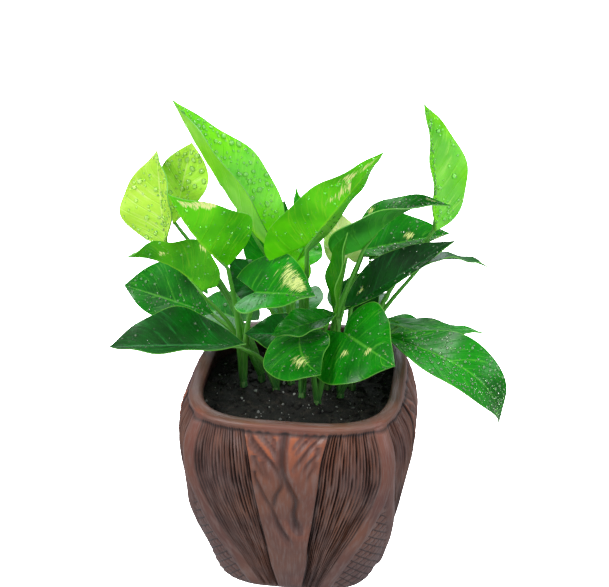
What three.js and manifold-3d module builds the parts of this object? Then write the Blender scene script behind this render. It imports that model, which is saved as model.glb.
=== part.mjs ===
// A young pothos in a square-shouldered terracotta pot carved like bark.
// Millimetres, +Z up. The origin is the middle of the pot's flat underside.
// +X is to the right and -Y towards someone who looks at the front of the pot.

import * as THREE from 'three';
import { mergeVertices } from 'three/addons/utils/BufferGeometryUtils.js';
import Module from 'manifold-3d';

const wasm = await Module();
wasm.setup();

// ---------------------------------------------------------------- driving dimensions

const GAP = 0.3; // between pieces that rest on each other

const pot = {
  height: 128,
  squareness: 3.5, // exponent of the plan's superellipse: 2 is round, large is square
  floor: 7,
  rows: [0, 3, 8, 17, 27, 38, 50, 62, 75, 88, 100, 111, 119, 124], // heights of the outside's rings
  // [height, half width] of the outside, from the foot to the lip
  profile: [
    [0, 49], [3, 51.5], [14, 55], [30, 59.5], [48, 63.8], [66, 67.3], [84, 70], [98, 71.2],
    [107, 70.6], [114, 69], [119, 66.8], [123, 65], [128, 63],
  ],
  // the same of the inside, from its floor to just below the lip
  inside: [[7, 43], [30, 51.5], [62, 58.2], [96, 61.8], [112, 60], [125, 56]],
  drainRadius: 4,
  drainOffset: 22, // the drain holes stand round the middle, which stays solid
};

// The carving of each of the four sides. A distance across is 0 in the middle of the side
// and 1 at the corner. A tapering root runs down the middle, with a panel of bark on each
// side of it, and a smooth ridge ends the bark.
const carving = {
  top: 127, // above this the lip is plain
  // [height, distance across] of the root's edge and of the bark's outer edge
  root: [[0, 0.16], [24, 0.22], [45, 0.24], [66, 0.28], [84, 0.31], [110, 0.36], [128, 0.48]],
  bark: [[0, 0.4], [16, 0.5], [30, 0.58], [54, 0.74], [76, 0.86], [92, 0.92]],
  // The pot's columns follow the flow of the carving, a column to each rib and each cut. For
  // each half of a side: how far across the root, the bark and the rest a column stands, and
  // how far it stands out from the plain wall.
  rootColumns: [[0, -0.5], [0.35, 1], [0.7, 0], [1, 0.9]],
  barkColumns: [[1 / 6, -1.3], [1 / 3, -0.1], [1 / 2, -1.3], [2 / 3, -0.1], [5 / 6, -1.3], [1, 0]],
  restColumns: [0.08, 0.18, 1],
  ridgeWidth: 0.16,
  ridgeRise: 2.0,
};

const soil = {
  top: 110,
  mound: 3, // the middle stands this much higher than the edge
  lump: 0.9, // height of its unevenness
  columns: 40,
  rings: 4,
  holeDepth: 22, // how far down the stems' holes go
};

const blade = {
  thickness: 0.7,
  across: 6,
  along: 9,
  rowCrowding: 1.5, // rows of points stand closer together near the base
  taperPower: 1.15, // 1 gives a blunt tip, 2 a drawn-out one
  lobe: 0.16,
  widest: 0.27,
  wave: 1,
  waves: 2.5, // waves along each edge
  leftPhase: 2, // the left edge's waves don't match the right edge's
};

const stalk = {
  sides: 6,
  rootRadius: 1.9,
  tipRadius: 1.1,
  steps: 6,
  sunk: 2.5, // how far below the top of its stem a stalk starts
  // where a stalk passes on its way, as parts of its way across and of its way up
  viaAcross: 0.4,
  viaUp: 0.55,
};

const vine = { sides: 8, radius: 2.8, height: 6, topTaper: 0.85 };

// ---------------------------------------------------------------- the plant

// Each leaf: base and tip are the ends of its midrib. roll turns the blade about that
// line, from the position in which the upper side looks up. fold raises each half from
// flat. arch bulges the midrib towards the upper side, droop does so near the tip, and
// bend bulges it to the right (parts of the length). twist turns the tip against the
// base. wave is the height of the edge's waves in mm, and uneven makes the right half
// wider than the left. widest is the place of the greatest width along the midrib. lobe
// is how far the heart-shaped base reaches back beside the stalk, and skew makes that
// more at the right than at the left. stem is the stem that bears the leaf, and via is a
// point that its stalk passes.
const leaves = [
  { name: 'leaf_tall_left', stem: 'd', base: [-26, 8, 211], tip: [-76, 20, 289], via: [-11, 17, 172],
    roll: 6, width: 60, fold: 43, bend: -0.05, widest: 0.33, tint: 'lime' },
  { name: 'leaf_pale_left', stem: 'b', base: [-80, 2, 205], tip: [-87, 22, 257], via: [-50, 16, 172],
    roll: -57, width: 54, fold: 28, lobe: 0, widest: 0.42, tint: 'pale' },
  { name: 'leaf_pale_behind', stem: 'b', base: [-78, 18, 214], tip: [-69, 36, 258],
    roll: 35, width: 30, fold: 12, lobe: 0.05, widest: 0.55, tint: 'pale' },
  { name: 'leaf_heart_left', stem: 'a', base: [-39, -18, 204], tip: [-66, -40, 255],
    roll: 24, width: 54, fold: 40, arch: -0.07, lobe: 0, widest: 0.38, uneven: -0.15, tint: 'bright' },
  { name: 'leaf_wavy_left', stem: 'a', base: [-56, -12, 184], tip: [-97, -22, 208], via: [-40, 2, 150],
    roll: 51, width: 42, fold: 40, arch: 0.14, wave: 2, lobe: 0.08, tint: 'bright' },
  { name: 'leaf_oval_left', stem: 'b', base: [-55, 6, 160], tip: [-110, 12, 173],
    roll: -59, width: 36, fold: 8, lobe: 0.05, widest: 0.55, uneven: 0.3, tint: 'deep' },
  { name: 'leaf_low_left', stem: 'c', base: [-33, -22, 155], tip: [-109, -30, 153],
    roll: 0, width: 60, fold: 22, lobe: 0.06, widest: 0.52, tint: 'deep' },
  { name: 'leaf_centre_patch', stem: 'a', base: [-23, -24, 191], tip: [14, -44, 201],
    roll: 22, width: 52, fold: 20, lobe: 0.22, skew: -0.8, tint: 'mid' },
  { name: 'leaf_shade_left', stem: 'd', base: [-24, 6, 178], tip: [-44, 10, 196],
    roll: -57, width: 26, fold: 10, tint: 'deep' },
  { name: 'leaf_teal_behind', stem: 'd', base: [-24, 28, 186], tip: [-15, 45, 220],
    roll: 33, width: 34, fold: 10, tint: 'mid' },
  { name: 'leaf_centre_big', stem: 'e', base: [6, -20, 220], tip: [49, -45, 286], via: [3, 4, 152],
    roll: -27, width: 45, fold: 30, lobe: 0.3, widest: 0.2, tint: 'bright' },
  { name: 'leaf_bud_behind', stem: 'e', base: [1, 22, 205], tip: [-6, 28, 236],
    roll: -60, width: 12, fold: 30, tint: 'bright' },
  { name: 'leaf_pale_mid', stem: 'e', base: [0, 2, 190], tip: [-21, 12, 208],
    roll: -49, width: 20, fold: 10, tint: 'lime' },
  { name: 'leaf_cream', stem: 'g', base: [26, 13, 199], tip: [17, 19, 228],
    roll: -42, width: 24, fold: 10, tint: 'cream' },
  { name: 'leaf_curled_right', stem: 'g', base: [36, -8, 214], tip: [85, -8, 243], via: [22, -2, 168],
    roll: -10, width: 44, fold: 45, arch: 0.1, droop: 0.05, lobe: 0.2, widest: 0.24,
    uneven: 0.35, twist: 45, tint: 'deep' },
  { name: 'leaf_light_right', stem: 'g', base: [36, 18, 202], tip: [86, 28, 211],
    roll: 45, width: 28, fold: 15, lobe: 0.05, uneven: -0.5, tint: 'mid' },
  { name: 'leaf_under_right', stem: 'i', base: [38, 32, 191], tip: [71, 38, 197], via: [43, 34, 168],
    roll: -30, width: 30, fold: 10, tint: 'mid' },
  { name: 'leaf_tall_right', stem: 'i', base: [77, 10, 220], tip: [67, 26, 290],
    roll: 26, width: 42, fold: 30, bend: 0.06, lobe: 0, widest: 0.4, tint: 'lime' },
  { name: 'leaf_dark_right', stem: 'h', base: [30, -2, 174], tip: [89, 4, 217],
    roll: 47, width: 20, fold: 15, lobe: 0.05, widest: 0.4, uneven: -0.6, tint: 'deep' },
  { name: 'leaf_olive_back', stem: 'j', base: [29, 23, 160], tip: [43, 29, 186],
    roll: 53, width: 28, fold: 10, tint: 'deep' },
  { name: 'leaf_far_right', stem: 'i', base: [68, 16, 194], tip: [110, 14, 196],
    roll: -15, width: 22, fold: 10, arch: 0.12, tint: 'deep' },
  { name: 'leaf_thin_right', stem: 'i', base: [58, 16, 155], tip: [111, 10, 155],
    roll: 0, width: 16, fold: 10, tint: 'mid' },
  { name: 'leaf_droop_right', stem: 'h', base: [56, -12, 160], tip: [120, -22, 113],
    roll: 35, width: 34, fold: 20, arch: 0.24, droop: 0.12, lobe: 0.05, widest: 0.45, tint: 'mid' },
  { name: 'leaf_front_right', stem: 'f', base: [28, -16, 164], tip: [59, -46, 161],
    roll: 50, width: 56, fold: 10, lobe: 0.25, skew: 0.8, widest: 0.3, uneven: 0.1, tint: 'mid' },
  { name: 'leaf_front_left', stem: 'f', base: [2, -16, 162], tip: [18, -50, 155],
    roll: 26, width: 42, fold: 6, bend: 0.12, uneven: 0.1, widest: 0.4, tint: 'mid' },
  { name: 'leaf_shade_front', stem: 'c', base: [-3, -3, 154], tip: [-32, -11, 157],
    roll: -42, width: 26, fold: 10, tint: 'deep' },
  { name: 'leaf_bright_small', stem: 'f', base: [18.5, -17, 174], tip: [-13, -28, 166], via: [13, -9, 150],
    roll: -10, width: 24, fold: 15, widest: 0.45, tint: 'lime' },
  { name: 'leaf_young', stem: 'h', base: [22, -9, 171], tip: [30, -31, 234],
    roll: 92, width: 22, fold: 30, lobe: 0, widest: 0.45, tint: 'bright' },
  { name: 'leaf_back_left', stem: 'b', base: [-40, 28, 144], tip: [-88, 54, 130],
    roll: -10, width: 40, fold: 12, arch: 0.12, tint: 'mid' },
  { name: 'leaf_back_middle', stem: 'd', base: [-9, 34, 150], tip: [-18, 78, 138],
    roll: 0, width: 42, fold: 12, arch: 0.14, tint: 'mid' },
  { name: 'leaf_back_right', stem: 'j', base: [26, 42, 150], tip: [44, 82, 140],
    roll: 0, width: 40, fold: 12, arch: 0.12, tint: 'deep' },
  { name: 'leaf_back_low', stem: 'i', base: [54, 28, 140], tip: [91, 48, 124],
    roll: 8, width: 34, fold: 12, arch: 0.1, tint: 'mid' },
  { name: 'leaf_back_high', stem: 'd', base: [-8, 40, 182], tip: [-6, 66, 192],
    roll: 10, width: 32, fold: 12, arch: 0.05, tint: 'bright' },
];

// Each stem: root is where it stands in the soil.
const stems = {
  a: [-36, 4], b: [-26, 12], c: [-15, 0], d: [-7, 9], e: [2, -6], f: [12, -13],
  g: [16, 6], h: [25, -3], i: [31, 9], j: [26, 24],
};

// ---------------------------------------------------------------- small helpers

const radians = (degrees) => (degrees * Math.PI) / 180;
const vec = (list) => new THREE.Vector3(...list);
const clamp01 = (value) => Math.min(1, Math.max(0, value));

function smoothStep(edge0, edge1, value) {
  const t = clamp01((value - edge0) / (edge1 - edge0));
  return t * t * (3 - 2 * t);
}

function lookUp(table, value) {
  const last = table.length - 1;
  if (value <= table[0][0]) return table[0][1];
  if (value >= table[last][0]) return table[last][1];
  const next = table.findIndex((row) => row[0] > value);
  const [x0, y0] = table[next - 1];
  const [x1, y1] = table[next];
  return y0 + ((y1 - y0) * (value - x0)) / (x1 - x0);
}

function toGeometry(points, triangles) {
  const geometry = new THREE.BufferGeometry();
  const position = points.flatMap((p) => [p.x, p.y, p.z]);
  geometry.setAttribute('position', new THREE.Float32BufferAttribute(position, 3));
  geometry.setIndex(triangles.flat());
  return geometry;
}

function toSolid(geometry) {
  const bare = geometry.clone();
  bare.deleteAttribute('normal');
  bare.deleteAttribute('uv');
  const merged = mergeVertices(bare, 1e-5);
  return new wasm.Manifold(new wasm.Mesh({
    numProp: 3,
    vertProperties: new Float32Array(merged.attributes.position.array),
    triVerts: new Uint32Array(merged.index.array),
  }));
}

function fromSolid(solid) {
  const mesh = solid.getMesh();
  const geometry = new THREE.BufferGeometry();
  geometry.setAttribute('position', new THREE.BufferAttribute(mesh.vertProperties, 3));
  geometry.setIndex(new THREE.BufferAttribute(mesh.triVerts, 1));
  return geometry;
}

// Rings of points, each as long as the next, closed by a fan at both ends.
function loft(rings) {
  const count = rings[0].length;
  const points = rings.flat();
  const sumOf = (ring) => ring.reduce((sum, p) => sum.add(p), new THREE.Vector3());
  const centre = (ring) => sumOf(ring).divideScalar(count);
  const first = points.push(centre(rings[0])) - 1;
  const last = points.push(centre(rings[rings.length - 1])) - 1;
  const triangles = [];
  for (let ring = 0; ring + 1 < rings.length; ring += 1) {
    for (let k = 0; k < count; k += 1) {
      const a = ring * count + k;
      const b = ring * count + ((k + 1) % count);
      triangles.push([a, b, b + count], [a, b + count, a + count]);
    }
  }
  const end = (rings.length - 1) * count;
  for (let k = 0; k < count; k += 1) {
    const next = (k + 1) % count;
    triangles.push([first, next, k], [last, end + k, end + next]);
  }
  return toGeometry(points, triangles);
}

// A tube that narrows along a curve, with flat ends.
function taper(curve, sides, steps, radiusAt) {
  const frames = curve.computeFrenetFrames(steps, false);
  const rings = [];
  for (let step = 0; step <= steps; step += 1) {
    const along = step / steps;
    const middle = curve.getPointAt(along);
    const radius = radiusAt(along);
    const ring = [];
    for (let k = 0; k < sides; k += 1) {
      const turn = (2 * Math.PI * k) / sides;
      ring.push(middle.clone()
        .addScaledVector(frames.normals[step], radius * Math.cos(turn))
        .addScaledVector(frames.binormals[step], radius * Math.sin(turn)));
    }
    rings.push(ring);
  }
  return loft(rings);
}

// ---------------------------------------------------------------- pot

// The plan of the pot: a square with round corners, for a half width of 1.
function planPoint(turn) {
  const c = Math.abs(Math.cos(turn));
  const s = Math.abs(Math.sin(turn));
  const reach = (c ** pot.squareness + s ** pot.squareness) ** (-1 / pot.squareness);
  return [reach * Math.cos(turn), reach * Math.sin(turn)];
}

// The columns of half a side at this height, from its middle to its corner. Each has its
// distance across and how far the carving stands out there.
function halfSide(height) {
  const root = lookUp(carving.root, height);
  const bark = lookUp(carving.bark, height);
  const fade = (1 - smoothStep(carving.top - 4, carving.top, height)) * smoothStep(0, 8, height);
  const inRoot = carving.rootColumns.map(([part, rise]) => [root * part, rise * fade]);
  const inBark = carving.barkColumns.map(([part, rise]) => [root + (bark - root) * part, rise * fade]);
  const inRest = carving.restColumns.map((past, k) => {
    const share = (k + 1) / carving.restColumns.length;
    const across = bark + Math.min(past, share * (1 - bark));
    const fromRidge = (across - bark - carving.ridgeWidth / 2) / (carving.ridgeWidth / 2);
    return [across, carving.ridgeRise * Math.max(0, 1 - fromRidge * fromRidge) * fade];
  });
  return [...inRoot, ...inBark, ...inRest];
}

// A ring round the pot. A carved one stands out where the carving does, and a plain one has
// the lip's columns.
function potRing(half, height, carved) {
  const right = halfSide(carved ? height : pot.height);
  const left = right.slice(1).reverse().map(([across, rise]) => [-across, rise]);
  const ring = [];
  for (let face = 0; face < 4; face += 1) {
    for (const [across, rise] of [...left, ...right.slice(0, -1)]) {
      const [x, y] = planPoint((Math.PI / 2) * face + (Math.PI / 4) * across);
      const reach = half + (carved ? rise : 0);
      ring.push(new THREE.Vector3(x * reach, y * reach, height));
    }
  }
  return ring;
}

function makePot() {
  const rings = [];
  for (const height of pot.rows) rings.push(potRing(lookUp(pot.profile, height), height, true));
  const lipHalf = lookUp(pot.profile, pot.height);
  rings.push(potRing(lipHalf - 1, pot.height - 0.6));
  rings.push(potRing(lipHalf - 3, pot.height));
  const inside = [...pot.inside].reverse();
  rings.push(potRing(inside[0][1] + 1, pot.height - 0.8));
  for (const [height, half] of inside) rings.push(potRing(half, height));
  let solid = toSolid(loft(rings));
  for (let k = 0; k < 4; k += 1) {
    const drain = new THREE.CylinderGeometry(pot.drainRadius, pot.drainRadius, 3 * pot.floor, 12);
    drain.rotateX(Math.PI / 2);
    drain.translate(
      pot.drainOffset * Math.cos(Math.PI / 4 + (k * Math.PI) / 2),
      pot.drainOffset * Math.sin(Math.PI / 4 + (k * Math.PI) / 2),
      0,
    );
    solid = solid.subtract(toSolid(drain));
  }
  return fromSolid(solid);
}

// ---------------------------------------------------------------- soil

function soilRing(half, height) {
  const turns = Array.from({ length: soil.columns }, (_, k) => (2 * Math.PI * k) / soil.columns);
  return turns.map((turn) => new THREE.Vector3(...planPoint(turn).map((part) => part * half), height));
}

function makeSoil() {
  const bends = pot.inside.map(([height]) => height);
  const heights = bends.filter((height) => height > pot.floor && height < soil.top);
  const rings = [pot.floor + GAP, ...heights, soil.top].map((height) => (
    soilRing(lookUp(pot.inside, height) - GAP - 0.1, height)
  ));
  for (let ring = 1; ring < soil.rings; ring += 1) {
    const inward = ring / soil.rings;
    const edge = lookUp(pot.inside, soil.top);
    const flat = soilRing(edge * (1 - inward), soil.top);
    rings.push(flat.map((p) => p.setZ(
      soil.top + soil.mound * inward + soil.lump * Math.sin(p.x / 6 + 1.3) * Math.cos(p.y / 7),
    )));
  }
  let solid = toSolid(loft(rings));
  for (const [x, y] of Object.values(stems)) {
    const radius = (vine.radius + GAP) / Math.cos(Math.PI / 12);
    const hole = new THREE.CylinderGeometry(radius, radius, 2 * soil.holeDepth, 12);
    hole.rotateX(Math.PI / 2);
    hole.translate(x, y, soil.top);
    solid = solid.subtract(toSolid(hole));
  }
  return fromSolid(solid);
}

// ---------------------------------------------------------------- blades

// The surface of a blade: u runs from -1 at the left edge to 1 at the right, t from 0 at
// the stalk to 1 at the tip.
function bladeSurface(leaf) {
  const {
    roll = 0, width, fold = 0, arch = 0, droop = 0, bend = 0, wave = blade.wave,
    twist = 0, uneven = 0, lobe = blade.lobe, skew = 0, widest = blade.widest,
  } = leaf;
  const base = vec(leaf.base);
  const axis = vec(leaf.tip).sub(base);
  const length = axis.length();
  const forward = axis.clone().normalize();
  const up = new THREE.Vector3(0, 0, 1).addScaledVector(forward, -forward.z).normalize();
  up.applyAxisAngle(forward, radians(roll));
  const right = forward.clone().cross(up);

  const midrib = (t) => base.clone()
    .addScaledVector(axis, t)
    .addScaledVector(up, length * (arch * 4 * t * (1 - t) + droop * 6.75 * t * t * (1 - t)))
    .addScaledVector(right, length * bend * 4 * t * (1 - t));

  const basePower = (blade.taperPower * widest) / (1 - widest);
  const outline = (t) => t ** basePower * (1 - t) ** blade.taperPower;

  return (u, t) => {
    const middle = midrib(t);
    const tangent = midrib(Math.min(1, t + 0.01)).sub(midrib(Math.max(0, t - 0.01))).normalize();
    const side = right.clone().addScaledVector(tangent, -right.dot(tangent)).normalize();
    side.applyAxisAngle(tangent, radians(twist) * t);
    const normal = side.clone().cross(tangent);
    const half = (0.5 * width * outline(t)) / outline(widest);
    const reach = Math.abs(u) * half * (1 + uneven * Math.sign(u));
    const spread = reach * Math.cos(radians(fold));
    const rise = reach * Math.sin(radians(fold));
    const phase = 2 * Math.PI * blade.waves * t + (u > 0 ? 0 : blade.leftPhase);
    const ripple = wave * u * u * Math.sin(phase) * Math.min(1, 6 * (1 - t));
    const lobeHere = lobe * (1 + skew * Math.sign(u));
    const back = length * lobeHere * (1 - t) ** 4 * Math.abs(u) ** 1.5;
    return middle
      .addScaledVector(side, Math.sign(u) * spread)
      .addScaledVector(normal, rise + ripple)
      .addScaledVector(tangent, t > 0 ? -back : 0);
  };
}

function makeBlade(leaf) {
  const surface = bladeSurface(leaf);
  const { across, along, thickness } = blade;
  const tOf = (row) => (row / along) ** blade.rowCrowding;
  const rows = [];
  for (let row = 0; row <= along; row += 1) {
    const t = tOf(row);
    const single = row === 0 || row === along;
    const line = [];
    for (let k = 0; k <= (single ? 0 : across); k += 1) {
      const u = single ? 0 : (2 * k) / across - 1;
      line.push(surface(u, t));
    }
    rows.push(line);
  }

  // one sheet's triangles, with the same diagonals on the upper and the lower side
  const starts = [];
  rows.reduce((sum, line) => {
    starts.push(sum);
    return sum + line.length;
  }, 0);
  const sheet = [];
  for (let k = 0; k < across; k += 1) sheet.push([starts[0], starts[1] + k + 1, starts[1] + k]);
  for (let row = 1; row + 2 <= along; row += 1) {
    for (let k = 0; k < across; k += 1) {
      const a = starts[row] + k;
      const b = starts[row + 1] + k;
      if (k < across / 2) sheet.push([a, a + 1, b], [a + 1, b + 1, b]);
      else sheet.push([a, a + 1, b + 1], [a, b + 1, b]);
    }
  }
  const tip = starts[along];
  const lastRow = starts[along - 1];
  for (let k = 0; k < across; k += 1) sheet.push([lastRow + k, lastRow + k + 1, tip]);

  // the mean normal at each point, then both sides at half the thickness
  const flat = rows.flat();
  const normals = flat.map(() => new THREE.Vector3());
  for (const [a, b, c] of sheet) {
    const face = flat[b].clone().sub(flat[a]).cross(flat[c].clone().sub(flat[a]));
    for (const index of [a, b, c]) normals[index].add(face);
  }
  const upper = flat.map((p, i) => p.clone().addScaledVector(normals[i].normalize(), thickness / 2));
  const lower = flat.map((p, i) => p.clone().addScaledVector(normals[i], -thickness / 2));
  const count = flat.length;
  const triangles = sheet.map(([a, b, c]) => [a, b, c]);
  for (const [a, b, c] of sheet) triangles.push([a + count, c + count, b + count]);

  // the rim joins the two sides
  const rim = [starts[0]];
  for (let row = 1; row < along; row += 1) rim.push(starts[row] + across);
  rim.push(tip);
  for (let row = along - 1; row > 0; row -= 1) rim.push(starts[row]);
  for (let k = 0; k < rim.length; k += 1) {
    const a = rim[k];
    const b = rim[(k + 1) % rim.length];
    triangles.push([b, a, a + count], [b, a + count, b + count]);
  }
  return toGeometry([...upper, ...lower], triangles);
}

// ---------------------------------------------------------------- stems

// Where the stalk of a leaf ends: under the base of the blade, clear of it.
function stalkEnd(leaf, arriving) {
  const surface = bladeSurface(leaf);
  const base = surface(0, 0);
  const along = surface(0, 0.02).sub(base).normalize();
  const across = surface(0.3, 0.05).sub(surface(-0.3, 0.05)).normalize();
  const normal = across.cross(along).normalize();
  const lean = Math.abs(arriving.dot(normal));
  const clear = blade.thickness / 2 + GAP + stalk.tipRadius * Math.sqrt(Math.max(0, 1 - lean * lean));
  return base.addScaledVector(normal, -clear);
}

function makeStem(letter) {
  const [x, y] = stems[letter];
  const bottom = soil.top - soil.holeDepth + GAP;
  const crown = soil.top + soil.mound + vine.height;
  const trunk = new THREE.LineCurve3(vec([x, y, bottom]), vec([x, y, crown]));
  const trunkRadius = (t) => vine.radius * (t > 0.7 ? vine.topTaper : 1);
  let solid = toSolid(taper(trunk, vine.sides, 3, trunkRadius));
  for (const leaf of leaves.filter((each) => each.stem === letter)) {
    const usualVia = [
      x + stalk.viaAcross * (leaf.base[0] - x),
      y + stalk.viaAcross * (leaf.base[1] - y),
      crown + stalk.viaUp * (leaf.base[2] - crown),
    ];
    const start = vec([x, y, crown - stalk.sunk]);
    const via = vec(leaf.via ?? usualVia);
    const end = stalkEnd(leaf, vec(leaf.base).sub(via).normalize());
    const curve = new THREE.CatmullRomCurve3([start, via, end], false, 'centripetal');
    const radius = (t) => stalk.rootRadius + (stalk.tipRadius - stalk.rootRadius) * t;
    solid = solid.add(toSolid(taper(curve, stalk.sides, stalk.steps, radius)));
  }
  return fromSolid(solid);
}

// ---------------------------------------------------------------- the part

const terracotta = new THREE.MeshStandardMaterial({ color: 0x6b4a40, roughness: 0.6 });
const peat = new THREE.MeshStandardMaterial({ color: 0x1c1814, roughness: 1 });
const stalkGreen = new THREE.MeshStandardMaterial({ color: 0x7fb35a, roughness: 0.5 });

// leaves go from yellow-green when young to deep green when old
const tints = {
  lime: 0x86c63a, pale: 0xb4d77e, bright: 0x4fae27, mid: 0x2f8a26, deep: 0x17601f, cream: 0xc9d48a,
};
const leafMaterials = Object.fromEntries(Object.entries(tints).map(
  ([tint, color]) => [tint, new THREE.MeshStandardMaterial({ color, roughness: 0.35 })],
));

function piece(name, geometry, material) {
  const mesh = new THREE.Mesh(geometry, material);
  mesh.name = name;
  return mesh;
}

const plant = new THREE.Group();
plant.add(piece('pot', makePot(), terracotta));
plant.add(piece('soil', makeSoil(), peat));
for (const letter of Object.keys(stems)) plant.add(piece(`stem_${letter}`, makeStem(letter), stalkGreen));
for (const leaf of leaves) plant.add(piece(leaf.name, makeBlade(leaf), leafMaterials[leaf.tint]));

export default plant;
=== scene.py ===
"""A potted pothos, dressed: waxy leaves with water on them, green stalks, peat and a carved pot.

Sizes are in millimetres unless a name says otherwise, and turned to metres where a mesh is
made. +Z is up, -Y is towards the camera, and the origin is the middle of the pot's foot.
"""

import math
import random
from contextlib import contextmanager
from functools import partial
from types import SimpleNamespace

import bmesh
import bpy
from bpy.props import FloatProperty, FloatVectorProperty, IntProperty, PointerProperty
from bpy.types import Operator, Panel, PropertyGroup
from mathutils import Matrix, Quaternion, Vector, noise


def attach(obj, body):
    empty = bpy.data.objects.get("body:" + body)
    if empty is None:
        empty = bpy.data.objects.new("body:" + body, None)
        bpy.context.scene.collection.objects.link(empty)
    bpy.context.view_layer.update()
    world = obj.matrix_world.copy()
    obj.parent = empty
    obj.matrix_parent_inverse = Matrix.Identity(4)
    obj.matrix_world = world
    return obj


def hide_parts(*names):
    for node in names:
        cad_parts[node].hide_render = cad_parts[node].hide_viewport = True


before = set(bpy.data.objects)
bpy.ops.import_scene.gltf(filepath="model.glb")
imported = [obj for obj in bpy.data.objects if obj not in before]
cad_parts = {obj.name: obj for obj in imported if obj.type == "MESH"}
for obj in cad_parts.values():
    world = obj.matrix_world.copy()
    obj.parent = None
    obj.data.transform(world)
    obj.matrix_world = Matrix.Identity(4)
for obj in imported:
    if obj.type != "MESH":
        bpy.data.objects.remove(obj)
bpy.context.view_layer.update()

bl_info = {
    "name": "Potted Pothos",
    "version": (1, 0, 0),
    "blender": (4, 5, 0),
    "location": "View3D > Sidebar > Pothos",
    "description": "Builds a potted pothos piece by piece around its packed solids",
    "category": "Object",
}

MM = 0.001
BODY = "root"

# ------------------------------------------------------------------ the plant's table

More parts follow.
